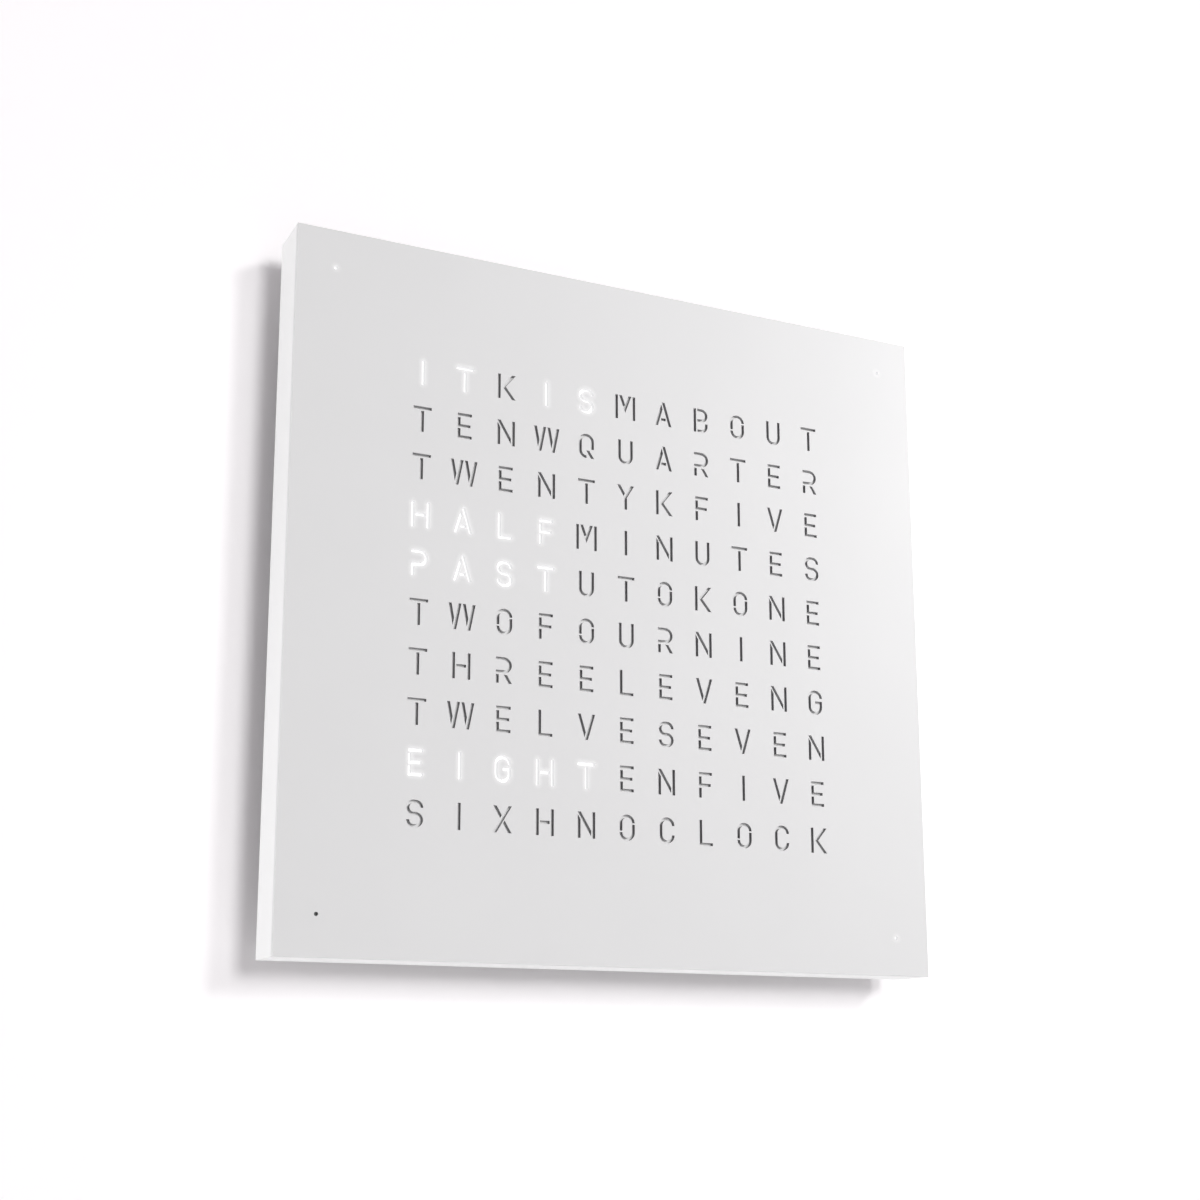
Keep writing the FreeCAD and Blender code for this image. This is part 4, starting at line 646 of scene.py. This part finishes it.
work = bmesh.new()
for low, high in solids("magnets"):
    radius, height = (high.x - low.x) / 2, high.y - low.y
    shape = bmesh.new()
    spin_profile(shape, disc_sides(radius, height) + [(0, height)])
    gather(work, shape, ((low.x + high.x) / 2, high.y, (low.z + high.z) / 2), TO_ROOM)
finish_piece(work, "magnet_discs", "clock_body", "magnets")

# %% [markdown]
# The cover carries eight steel discs that the magnets hold. Each has the small pit of the spot weld
# that holds it. The pit could be a second shape cut out of the disc, but it is round and in the middle,
# so the same profile just dips there. Their tops face the wall.

# %% Keeper discs
WELD_RADIUS = 1.2 * MM
WELD_DEPTH = 0.35 * MM

work = bmesh.new()
for low, high in solids("cover_keepers"):
    radius, height = (high.x - low.x) / 2, high.y - low.y
    shape = bmesh.new()
    spin_profile(shape, disc_sides(radius, height) + [(WELD_RADIUS, height),
                                                      (WELD_RADIUS / 2, height - WELD_DEPTH),
                                                      (0, height - WELD_DEPTH)])
    gather(work, shape, ((low.x + high.x) / 2, low.y, (low.z + high.z) / 2), TO_WALL)
finish_piece(work, "keeper_discs", "cover", "cover_keepers")

# %% [markdown]
# Two locating pins line the cover up, and one more is the contact inside the power inlet. Each has a
# rounded nose that finds its hole. A ball on the end would make a nose too, but only a half-round one.
# A quarter of an ellipse at the end of the profile can be as blunt or as slim as it needs to be.

# %% Pins
NOSE_STEPS = 6
PIN_NOSE = 1.6 * MM
CONTACT_NOSE = 0.8 * MM


def quarter_turn(steps):
    """The cosine and sine of each step of a quarter turn, for a rounded edge in a profile."""
    angles = [math.pi / 2 * step / steps for step in range(steps + 1)]
    return [(math.cos(angle), math.sin(angle)) for angle in angles]


def nosed_pin(work, foot, direction, radius, length, nose):
    """A round pin that stands on foot and ends in a rounded nose."""
    profile = [(0, 0), (radius, 0)]
    profile += [(radius * across, length - nose + nose * up) for across, up in quarter_turn(NOSE_STEPS)]
    shape = bmesh.new()
    spin_profile(shape, profile)
    gather(work, shape, foot, direction)


work = bmesh.new()
for low, high in solids("locating_pins"):
    nosed_pin(work, ((low.x + high.x) / 2, low.y, (low.z + high.z) / 2), TO_WALL, (high.x - low.x) / 2,
              high.y - low.y, PIN_NOSE)
finish_piece(work, "guide_pins", "cover", "locating_pins")

work = bmesh.new()
for low, high in solids("inlet_pin"):
    nosed_pin(work, ((low.x + high.x) / 2, (low.y + high.y) / 2, high.z), (0, 0, -1),
              (high.x - low.x) / 2, high.z - low.z, CONTACT_NOSE)
finish_piece(work, "centre_contact", "clock_body", "inlet_pin")

# %% [markdown]
# A screw's socket, a switch's bore and a chip's dimple are all holes sunk into a flat face. A boolean
# could cut them, but it leaves long thin faces. Here the face's open rim is filled round the ring of the
# hole, and the ring is extruded down and closed.

# %% A sunk hole
def sink_hole(shape, rim, centre, toward, sides, radius, depth):
    """Fills an open rim round a hole of so many sides, and sinks the hole into the shape."""
    ring = bmesh.ops.create_circle(shape, segments=sides, radius=radius, matrix=stand(centre, toward))
    mouth = list({edge for vertex in ring["verts"] for edge in vertex.link_edges})
    bmesh.ops.triangle_fill(shape, edges=rim + mouth, use_beauty=True, normal=toward)
    sunk = bmesh.ops.extrude_edge_only(shape, edges=mouth)["geom"]
    floor = [item for item in sunk if isinstance(item, bmesh.types.BMVert)]
    bmesh.ops.translate(shape, vec=Vector(toward) * -depth, verts=floor)
    bmesh.ops.contextual_create(shape, geom=[item for item in sunk if isinstance(item, bmesh.types.BMEdge)
                                             and item.verts[0] in floor and item.verts[1] in floor])


# %% [markdown]
# Machine screws have a domed head with a hexagon socket. Dome and threaded shank are one profile that
# is left open at the top, and the socket is sunk there. The thread could be a helix, but at this size
# rings look the same, and they come out of the same spin.

# %% One screw
THREAD_PITCH = 0.5 * MM
THREAD_DEPTH = 0.15 * MM
SHANK_RADIUS = 1.5 * MM
SOCKET_SIDES = 6
SOCKET_SHARE = 0.4
SOCKET_SINK = 0.65
MOUTH_SHARE = 0.5
DOME_FOOT = 0.3
DOME_STEPS = 5
SCREW_STEPS = 24


def screw(work, seat, direction, head_radius, head_height, length):
    """A button-head screw whose head sits on seat and whose top points along direction."""
    shape = bmesh.new()
    profile = [(0, -length), (SHANK_RADIUS - THREAD_DEPTH, -length)]
    for turn in range(int((length - THREAD_PITCH) / THREAD_PITCH)):
        start = -length + THREAD_PITCH / 2 + turn * THREAD_PITCH
        profile += [(SHANK_RADIUS, start), (SHANK_RADIUS - THREAD_DEPTH, start + THREAD_PITCH / 2)]
    profile += [(SHANK_RADIUS, 0), (head_radius, 0)]
    mouth = head_radius * MOUTH_SHARE
    profile += [(mouth + (head_radius - mouth) * across, head_height * (DOME_FOOT + (1 - DOME_FOOT) * up))
                for across, up in quarter_turn(DOME_STEPS)]
    spin_profile(shape, profile, SCREW_STEPS)
    rim = [edge for edge in shape.edges if edge.is_boundary]
    sink_hole(shape, rim, (0, 0, head_height), (0, 0, 1), SOCKET_SIDES, head_radius * SOCKET_SHARE,
              SOCKET_SINK * head_height)
    gather(work, shape, seat, direction)


# %% [markdown]
# Five sets of screws hold the clock together: the housing, the hangers, and the three kinds of board.
# One screw could be copied to every place, but their lengths differ, so each is spun to the size of the
# plain cylinder that it stands for. Only the height of the head is given.

# %% All screws
LARGE_HEAD = 3.0 * MM
SMALL_HEAD = 1.8 * MM
# Each set is its new name, its construction piece, the way its heads face, and their height.
SCREW_SETS = [("housing_bolts", "housing_screws", TO_WALL, LARGE_HEAD),
              ("hanger_bolts", "hanger_screws", TO_ROOM, SMALL_HEAD),
              ("board_bolts", "board_screws", TO_ROOM, SMALL_HEAD),
              ("carrier_bolts", "carrier_screws", TO_ROOM, SMALL_HEAD),
              ("button_board_bolts", "button_board_screws", (-1, 0, 0), SMALL_HEAD)]
for name, label, direction, head_height in SCREW_SETS:
    work = bmesh.new()
    for low, high in solids(label):
        size, centre, way = high - low, (low + high) / 2, Vector(direction)
        length = abs(size.dot(way))
        top = centre + way * length / 2
        screw(work, top - way * head_height, direction, size.z / 2, head_height, length - head_height)
    finish_piece(work, name, "clock_body", label)


# %% [markdown]
# The three set buttons are turned from one profile: a stem that works the switch, a flange that keeps
# the button in, and a cap with a rounded rim and a shallow dish for the fingertip. The dish could be a
# bump in the finish, but its rim is an edge that catches the light, so it has a real shape: a parabola
# at the end of the profile.

# %% Set buttons
STEM_RADIUS = 1.5 * MM
CAP_RADIUS = 3.5 * MM
CAP_START = 221.7 * MM
FLANGE_START = 220.5 * MM
RIM_ROUND = 0.5 * MM
DISH_DEPTH = 0.35 * MM
ROUND_STEPS = 5

for label in ("hour", "minute", "mode"):
    (low, high), = solids(label + "_button")
    flange = (high.z - low.z) / 2
    profile = [(0, low.x), (STEM_RADIUS - CHAMFER, low.x), (STEM_RADIUS, low.x + CHAMFER),
               (STEM_RADIUS, FLANGE_START), (flange, FLANGE_START), (flange, CAP_START),
               (CAP_RADIUS, CAP_START)]
    profile += [(CAP_RADIUS - RIM_ROUND + RIM_ROUND * across, high.x - RIM_ROUND + RIM_ROUND * up)
                for across, up in quarter_turn(ROUND_STEPS)]
    for step in range(1, ROUND_STEPS + 1):
        share = 1 - step / ROUND_STEPS
        profile.append(((CAP_RADIUS - 2 * RIM_ROUND) * share, high.x - DISH_DEPTH * (1 - share ** 2)))
    work = bmesh.new()
    shape = bmesh.new()
    spin_profile(shape, profile)
    gather(work, shape, (0, (low.y + high.y) / 2, (low.z + high.z) / 2), (1, 0, 0))
    finish_piece(work, label + "_cap", label + "_key", label + "_button")


# %% [markdown]
# Many small pieces are moulded blocks with broken edges, and some have a round hole in one face. A
# cylinder taken away from a cube would be the usual way. Here the face that is bored is taken out, and
# its rim is filled again round the hole, as in the screw heads, so the block stays clean and closed.

# %% A bored block
def plain_block(low, high, edge):
    """A block between two corners, with its edges broken."""
    shape = bmesh.new()
    size = Vector(high) - Vector(low)
    middle = (Vector(low) + Vector(high)) / 2
    bmesh.ops.create_cube(shape, size=1, matrix=Matrix.Translation(middle) @ Matrix.Diagonal((*size, 1)))
    if edge:
        bmesh.ops.bevel(shape, geom=shape.edges, offset=edge, affect="EDGES", segments=1, profile=0.5,
                        material=-1)
    shape.normal_update()
    return shape


def bored_block(work, low, high, toward, radius, depth, edge, sides, aside=(0, 0, 0)):
    """A block with a round hole sunk into the face toward a direction."""
    shape = plain_block(low, high, edge)
    way = Vector(toward)
    face = max(shape.faces, key=lambda item: item.normal.dot(way) * item.calc_area())
    rim, centre = list(face.edges), face.calc_center_median() + Vector(aside)
    bmesh.ops.delete(shape, geom=[face], context="FACES_ONLY")
    sink_hole(shape, rim, centre, toward, sides, radius, depth)
    gather(work, shape)


# %% [markdown]
# The power inlet, the switches, the LEDs, the light sensor and the holder of the backup cell are such
# blocks. Each could have a function of its own, but only their measures differ, so a table makes them
# all. The LEDs are many, so theirs is a hole of twelve sides in a plain block, the shallow cup that
# holds the phosphor.

# %% Bored pieces
# Each set is its new name, its construction piece, the way its hole faces, the hole's radius and depth,
# the width of the broken edges, and the sides of the hole.
BORED_SETS = [("inlet_socket", "power_inlet", (0, 0, -1), 3.2 * MM, 9.5 * MM, 0.5 * MM, 40),
              ("tact_switches", "button_switches", (1, 0, 0), 1.8 * MM, 1.7 * MM, 0.3 * MM, 32),
              ("led_packages", "leds", TO_ROOM, 1.9 * MM, 0.35 * MM, 0, 12),
              ("corner_led_packages", "corner_leds", TO_ROOM, 1.9 * MM, 0.35 * MM, 0, 12),
              ("dusk_sensor", "light_sensor", TO_ROOM, 0.6 * MM, 0.12 * MM, 0.1 * MM, 16),
              ("coin_holder", "backup_cell_holder", TO_ROOM, 10.2 * MM, 4.0 * MM, 0.8 * MM, 64)]
for name, label, toward, radius, depth, edge, sides in BORED_SETS:
    work = bmesh.new()
    for low, high in solids(label):
        bored_block(work, low, high, toward, radius, depth, edge, sides)
    finish_piece(work, name, "clock_body", label)


# %% [markdown]
# The coin cell's case is crimped round its smaller lid with a dark gap between them, and the case is
# pressed in a little on its flat side. Lid and case could be two pieces, but nothing parts them, so they
# are turned from one profile.

# %% Backup cell
CELL_STEPS = 64
LID_SHARE = 0.87
LID_RISE = 2 * CHAMFER
CRIMP = 2 * CHAMFER
PRESSED_RIM_SHARE = 0.75
PRESSED_SHARE = 0.73
PRESSED_DEPTH = CHAMFER / 2

work = bmesh.new()
for low, high in solids("backup_cell"):
    radius, height = (high.x - low.x) / 2, high.y - low.y
    lid = radius * LID_SHARE
    shape = bmesh.new()
    spin_profile(shape, [(0, 0), (lid - CHAMFER, 0), (lid, CHAMFER), (lid, LID_RISE),
                         (radius - CRIMP, LID_RISE), (radius, LID_RISE + CRIMP),
                         (radius, height - CHAMFER), (radius - CHAMFER, height),
                         (radius * PRESSED_RIM_SHARE, height),
                         (radius * PRESSED_SHARE, height - PRESSED_DEPTH),
                         (0, height - PRESSED_DEPTH)], CELL_STEPS)
    gather(work, shape, ((low.x + high.x) / 2, high.y, (low.z + high.z) / 2), TO_ROOM)
finish_piece(work, "coin_cell", "clock_body", "backup_cell")

# %% [markdown]
# A capacitor's plastic sleeve is rolled in above its base and shrinks over the rim of the can, and the
# bare end of the can shows inside that rim. The end could be a second material on the same mesh, but a
# disc of its own is simpler: every piece keeps to one finish.

# %% Capacitors
SLEEVE_ROUND = 2 * CHAMFER
GROOVE_START = 5 * CHAMFER
GROOVE_END = 8 * CHAMFER
SLEEVE_RIM = 0.8 * MM
CAN_SINK = 0.2 * MM

sleeves, ends = bmesh.new(), bmesh.new()
for low, high in solids("smoothing_capacitors"):
    radius, height = (high.x - low.x) / 2, high.y - low.y
    foot = ((low.x + high.x) / 2, high.y, (low.z + high.z) / 2)
    inner = radius - SLEEVE_RIM
    shape = bmesh.new()
    spin_profile(shape, [(0, 0), (radius - SLEEVE_ROUND, 0), (radius, SLEEVE_ROUND),
                         (radius, GROOVE_START), (radius - CHAMFER, GROOVE_START + CHAMFER),
                         (radius - CHAMFER, GROOVE_END - CHAMFER), (radius, GROOVE_END),
                         (radius, height - CHAMFER), (radius - CHAMFER, height), (inner, height),
                         (inner, height - 2 * CAN_SINK), (0, height - 2 * CAN_SINK)])
    gather(sleeves, shape, foot, TO_ROOM)
    shape = bmesh.new()
    spin_profile(shape, [(0, height - 2 * CAN_SINK), (inner, height - 2 * CAN_SINK),
                         (inner, height - CAN_SINK), (inner / 3, height - CAN_SINK / 2),
                         (0, height - CAN_SINK / 2)])
    gather(ends, shape, foot, TO_ROOM)
finish_piece(sleeves, "capacitor_sleeves", "clock_body", "smoothing_capacitors")
finish_piece(ends, "capacitor_ends", "clock_body", slot="carrier_aluminium")

# %% [markdown]
# The crystal's can, the chips' leads and the jumper wires all grow from one face that is drawn out in
# steps. An extruded face leaves the old one behind: on a flat outline that is the closed foot, but
# inside a solid it would be a hidden wall, so there it is deleted.

# %% Draw a face out
def draw_out(shape, end, steps):
    """Extrudes a face from step to step, and returns it where it ends."""
    for step in steps:
        on_solid = not end.edges[0].is_boundary
        grown = bmesh.ops.extrude_face_region(shape, geom=[end])["geom"]
        if on_solid:
            bmesh.ops.delete(shape, geom=[end], context="FACES_ONLY")
        end = [item for item in grown if isinstance(item, bmesh.types.BMFace)][0]
        bmesh.ops.translate(shape, vec=step, verts=list(end.verts))
    return end


# %% [markdown]
# The crystal's can is drawn from sheet: a long rounded shell on a thin flange. A block with very round
# edges would come close, but the ends of a drawn can are true half circles. So a circle is stretched by
# pulling its halves apart, and its face is extruded for the flange, inset, and extruded again.

# %% Crystal
FLANGE_HEIGHT = 0.45 * MM
FLANGE_WIDTH = 0.35 * MM
CAN_ROUND = 0.4 * MM
CAN_ROUND_STEPS = 3
CAN_STEPS = 32

work = bmesh.new()
for low, high in solids("quartz_crystal"):
    width, thick, length = high.x - low.x, high.y - low.y, high.z - low.z
    shape = bmesh.new()
    bmesh.ops.create_circle(shape, cap_ends=True, segments=CAN_STEPS, radius=length / 2,
                            matrix=Matrix.Rotation(math.pi / CAN_STEPS, 4, "Z"))
    for side in (-1, 1):
        half = [vertex for vertex in shape.verts if vertex.co.x * side > 0]
        bmesh.ops.translate(shape, vec=(side * (width - length) / 2, 0, 0), verts=half)
    end = draw_out(shape, shape.faces[:][0], [(0, 0, FLANGE_HEIGHT)])
    bmesh.ops.inset_individual(shape, faces=[end], thickness=FLANGE_WIDTH, use_even_offset=True)
    end = draw_out(shape, end, [(0, 0, thick - FLANGE_HEIGHT)])
    bmesh.ops.bevel(shape, geom=list(end.edges), offset=CAN_ROUND, affect="EDGES",
                    segments=CAN_ROUND_STEPS, profile=0.5, material=-1)
    gather(work, shape, ((low.x + high.x) / 2, high.y, (low.z + high.z) / 2), TO_ROOM)
finish_piece(work, "crystal_shell", "clock_body", "quartz_crystal")

# %% [markdown]
# A chip's leads leave its body at half height, bend down and lie flat on the board. A lead could be a
# bent curve with a flat section, but it has only two bends: it is a small bar whose end face is drawn
# out step by step. A row is made along x and turned to its side of the chip.

# %% Leads
LEAD_THICK = 0.2 * MM
LEAD_STUB = 0.4 * MM


def lead_row(work, low, high, turn, count, pitch, wide):
    """The leads of one side of a chip: out of the body, down to the board, and flat on it."""
    middle = (low + high) / 2
    reach = (high.x - low.x) / 2 if turn % 2 == 0 else (high.z - low.z) / 2
    drop = (high.y - low.y) / 2 - LEAD_THICK / 2
    place = Matrix.Translation(middle) @ Matrix.Rotation(turn * math.pi / 2, 4, "Y")
    for number in range(count):
        along = (number - (count - 1) / 2) * pitch
        shape = plain_block((reach - LEAD_STUB, -LEAD_THICK / 2, along - wide / 2),
                            (reach + LEAD_STUB / 2, LEAD_THICK / 2, along + wide / 2), 0)
        tip = max(shape.faces, key=lambda item: item.normal.x)
        draw_out(shape, tip, [(LEAD_STUB / 2, drop, 0), (LEAD_STUB, 0, 0)])
        bmesh.ops.transform(shape, matrix=place, verts=shape.verts)
        gather(work, shape)


# %% [markdown]
# A chip is a block of epoxy with a small dimple at its first lead. The leads could be part of the block,
# but they are stamped from tinned copper, so all of them together are one piece with a metal finish.

# %% Chips
LEAD_WIDE = 0.4 * MM
POWER_LEAD_WIDE = 1.1 * MM
DIMPLE_RADIUS = 0.5 * MM
DIMPLE_DEPTH = 0.15 * MM
DIMPLE_INSET = 1.4 * MM
DIMPLE_SIDES = 16
PLASTIC_EDGE = 0.25 * MM
# Each set is its new name, its construction piece, the sides that have leads as quarter turns about y,
# the leads of a side, their pitch, and their width.
CHIP_SETS = [("main_chip", "microcontroller", (0, 1, 2, 3), 16, 0.8 * MM, LEAD_WIDE),
             ("time_chip", "clock_chip", (0, 2), 8, 1.2 * MM, LEAD_WIDE),
             ("regulator_chip", "voltage_regulator", (1,), 3, 2.5 * MM, POWER_LEAD_WIDE)]
leads = bmesh.new()
for name, label, turns, count, pitch, wide in CHIP_SETS:
    work = bmesh.new()
    (low, high), = solids(label)
    corner = (DIMPLE_INSET - (high.x - low.x) / 2, 0, (high.z - low.z) / 2 - DIMPLE_INSET)
    bored_block(work, low, high, TO_ROOM, DIMPLE_RADIUS, DIMPLE_DEPTH, PLASTIC_EDGE, DIMPLE_SIDES, corner)
    for turn in turns:
        lead_row(leads, low, high, turn, count, pitch, wide)
    finish_piece(work, name, "clock_body", label)
finish_piece(leads, "chip_leads", "clock_body", slot="crystal_can")

# %% [markdown]
# The plugs are nylon, with one window for each contact. The windows could be cut one by one, but their
# number follows from the length of the plug. So the block's long edges are cut into as many parts as
# there are windows, and each face on one side is inset and pushed in.

# %% Plugs
PLUG_EDGE = 0.2 * MM
WINDOW_EDGE = 0.3 * MM
WINDOW_DEPTH = 0.4 * MM
WINDOW_PITCH = 2 * MM
SQUARE_TIE = 0.1 * MM
CORNER_ANGLE = math.radians(60)
SAME_WAY = 0.99
WINDOW_SIDES = (TO_WALL, TO_ROOM, TO_ROOM, (-1, 0, 0))

work = bmesh.new()
for (low, high), toward in zip(solids("ribbon_plugs"), WINDOW_SIDES):
    shape = plain_block(low, high, 0)
    size = high - low
    # Where two sides are as long, the one that the windows face isn't the one that is cut.
    longest = max(range(3), key=lambda axis: size[axis] - SQUARE_TIE * abs(toward[axis]))
    run = [edge for edge in shape.edges
           if abs(edge.verts[0].co[longest] - edge.verts[1].co[longest]) > size[longest] / 2]
    bmesh.ops.subdivide_edges(shape, edges=run, cuts=round(size[longest] / WINDOW_PITCH) - 1,
                              use_grid_fill=True)
    shape.normal_update()
    corners = [edge for edge in shape.edges if edge.calc_face_angle() > CORNER_ANGLE]
    bmesh.ops.bevel(shape, geom=corners, offset=PLUG_EDGE, affect="EDGES", segments=1, profile=0.5,
                    material=-1)
    shape.normal_update()
    windows = [face for face in shape.faces if face.normal.dot(Vector(toward)) > SAME_WAY]
    bmesh.ops.inset_individual(shape, faces=windows, thickness=WINDOW_EDGE, depth=-WINDOW_DEPTH,
                               use_even_offset=True)
    gather(work, shape)
finish_piece(work, "nylon_plugs", "clock_body", "ribbon_plugs")

# %% [markdown]
# Each LED strip hands power and data to the next through a jumper of three short red wires, soldered at
# both ends, that rise a little between them. A curve with a bevel makes a wire too, but it would have
# to be made a mesh and joined to the rest. A small disc drawn out along a sine curve is a mesh from the
# start.

# %% Strip jumpers
WIRE_RADIUS = 0.28 * MM
WIRE_SIDES = 8
WIRE_STEPS = 8

work = bmesh.new()
for low, high in solids("strip_jumpers"):
    rise = high.y - low.y - 2 * WIRE_RADIUS
    for wire in (-1, 0, 1):
        across = (low.x + high.x) / 2 + wire * ((high.x - low.x) / 2 - WIRE_RADIUS)
        path = [Vector((across, high.y - WIRE_RADIUS - rise * math.sin(math.pi * step / WIRE_STEPS),
                        low.z + (high.z - low.z) * step / WIRE_STEPS)) for step in range(WIRE_STEPS + 1)]
        shape = bmesh.new()
        bmesh.ops.create_circle(shape, cap_ends=True, segments=WIRE_SIDES, radius=WIRE_RADIUS,
                                matrix=Matrix.Translation(path[0]))
        draw_out(shape, shape.faces[:][0], [stop - start for start, stop in zip(path, path[1:])])
        gather(work, shape)
finish_piece(work, "jumper_wires", "clock_body", "strip_jumpers")

# %% [markdown]
# Wall and floor are painted with matt white emulsion. Brighter lamps could bleach them, but the clock
# would bleach too. So where the camera, a mirror or a clear pane looks at it, the paint is brighter than
# a real white, by a gain on its colour. That keeps the background clean and leaves the shadow its shape,
# and no more light falls on the clock. The wall shows only its front: from behind it lets everything
# pass, so that the clock's back can be seen and lit.

# %% Paint of the room
REAL_WHITE = "#EAEAEA"


def seen_by(tree):
    """The ray's path, and 1 where the camera, a mirror or a clear pane looks."""
    path = add(tree, "LightPath")
    seen = add(tree, "Math", {0: path.outputs["Is Camera Ray"], 1: path.outputs["Is Glossy Ray"]},
               operation="MAXIMUM")
    return path, add(tree, "Math", {0: seen, 1: path.outputs["Is Transmission Ray"]}, operation="MAXIMUM")


def room_paint(name, tint, gain, one_sided):
    """Matt white emulsion, shown brighter than it lights the room."""
    material, tree, _ = start_finish(name)
    path, seen = seen_by(tree)
    shown = add(tree, "BsdfDiffuse", {"Color": [part * gain for part in linear(tint)]})
    real = add(tree, "BsdfDiffuse", {"Color": REAL_WHITE})
    paint = add(tree, "MixShader", {0: seen, 1: real, 2: shown})
    if one_sided:
        behind = add(tree, "NewGeometry").outputs["Backfacing"]
        passing = add(tree, "Math", {0: behind, 1: path.outputs["Is Shadow Ray"]}, operation="MAXIMUM")
        paint = add(tree, "MixShader", {0: passing, 1: paint, 2: add(tree, "BsdfTransparent")})
    add(tree, "OutputMaterial", {"Surface": paint})
    return material


# %% [markdown]
# The wall stands just behind the clock, and the floor lies well below it, both so wide that no edge
# shows. A bent backdrop would join them, but the clock hangs on a wall, and a wall is flat. They are
# stage pieces, which the frame leaves out of the clock's size.

# %% Wall and floor
WALL_GAP = 0.5 * MM
ROOM_HALF = 6.0
FLOOR_HEIGHT = -1.5
WALL_TINT = "#FFFDFE"
WALL_GAIN = 1.25
FLOOR_TINT = "#FFFFFF"
FLOOR_GAIN = 2.6


def room_side(name, material, centre, turn):
    """A large square that isn't part of the clock."""
    work = bmesh.new()
    bmesh.ops.create_grid(work, x_segments=1, y_segments=1, size=ROOM_HALF,
                          matrix=Matrix.Translation(centre) @ Matrix.Rotation(turn, 4, "X"))
    mesh = as_mesh(work, name)
    mesh.materials.append(material)
    item = put_in_scene(name, mesh)
    return item


wall_paint = room_paint("wall_emulsion", WALL_TINT, WALL_GAIN, True)
floor_paint = room_paint("floor_emulsion", FLOOR_TINT, FLOOR_GAIN, False)
wall = room_side("wall", wall_paint, (0, WALL_GAP, 0), math.pi / 2)
room_side("floor", floor_paint, (0, 0, FLOOR_HEIGHT), 0)
print("a wall and a floor of", 2 * ROOM_HALF, "m")

# %% [markdown]
# Two lamps four metres in front, a little to the right and above, throw the two soft shadows: one is
# almost straight ahead, and the other stands further round. One broad lamp would be simpler, but it
# blurs the two into one. Four rake across the clock from close to the wall: the one on the right makes
# the face brighter toward that side, and the others light the edges. Light linking keeps these four off
# the wall, as a flag does in a studio, so the shadow stays clear. The last lamp is behind the wall, for
# the back. Its light and that of the lamp near the floor aren't passed on from surface to surface, or
# they would leak into the shadow. The lamps straight above and below make no highlights, because their
# glare would hide the letters from above and below.

# %% Lamps
# A lamp is its name, its place, the width of its disc in metres, and its power in watts.
LAMPS = [("key", (0.211, -4.0, 0.37), 0.75, 42.5),
         ("second", (1.43, -4.0, 1.08), 0.80, 38.5),
         ("right_rake", (0.80, -0.42, 0.30), 0.30, 3.5),
         ("left_rake", (-2.50, -0.22, 0.0), 0.36, 25.5),
         ("top_rake", (0.10, -0.16, 1.70), 0.30, 9.0),
         ("floor_rake", (0.40, -0.22, -1.35), 0.36, 3.9),
         ("behind", (0.0, 1.60, 0.0), 1.20, 11.0)]
AIM = Vector((0, -0.04, 0))
OFF_THE_WALL = ("right_rake", "left_rake", "top_rake", "floor_rake")
DIRECT_ONLY = ("floor_rake", "behind")
GLARE_FREE = ("top_rake", "floor_rake")

spared = bpy.data.collections.new("spared_by_the_rakes")
spared.objects.link(wall)
spared.collection_objects[0].light_linking.link_state = "EXCLUDE"
for name, place, size, watts in LAMPS:
    data = bpy.data.lights.new(name, "AREA")
    data.shape = "DISK"
    data.size = size
    data.energy = watts
    lamp = put_in_scene(name, data)
    lamp.location = place
    lamp.rotation_euler = (AIM - Vector(place)).to_track_quat("-Z", "Y").to_euler()
    lamp.visible_camera = False
    if name in OFF_THE_WALL:
        lamp.light_linking.receiver_collection = spared
    if name in DIRECT_ONLY:
        data.cycles.max_bounces = 0
    if name in GLARE_FREE:
        lamp.visible_glossy = False
print(len(LAMPS), "lamps of", round(sum(watts for *_, watts in LAMPS), 1), "W together")

# %% [markdown]
# The world is the air of the room: an even light from all sides that keeps the shadows from going
# black. A big lamp on every side could give it too, but they would all have to be kept out of sight. It
# is white where the camera, a mirror or a clear pane looks at it, and a dimmer white where it lights
# the room.

# %% World
AIR = "#FFFAFE"
AIR_STRENGTH = 0.28

world = bpy.data.worlds.new("room_air")
bpy.context.scene.world = world
world.use_nodes = True
world.node_tree.nodes.clear()
seen = seen_by(world.node_tree)[1]
air = add(world.node_tree, "Background", {"Color": AIR, "Strength": AIR_STRENGTH})
white = add(world.node_tree, "Background", {"Color": "#FFFFFF", "Strength": 1.0})
sky = add(world.node_tree, "MixShader", {0: seen, 1: air, 2: white})
add(world.node_tree, "OutputWorld", {"Surface": sky})
print("the air's light is", AIR_STRENGTH, "of white")
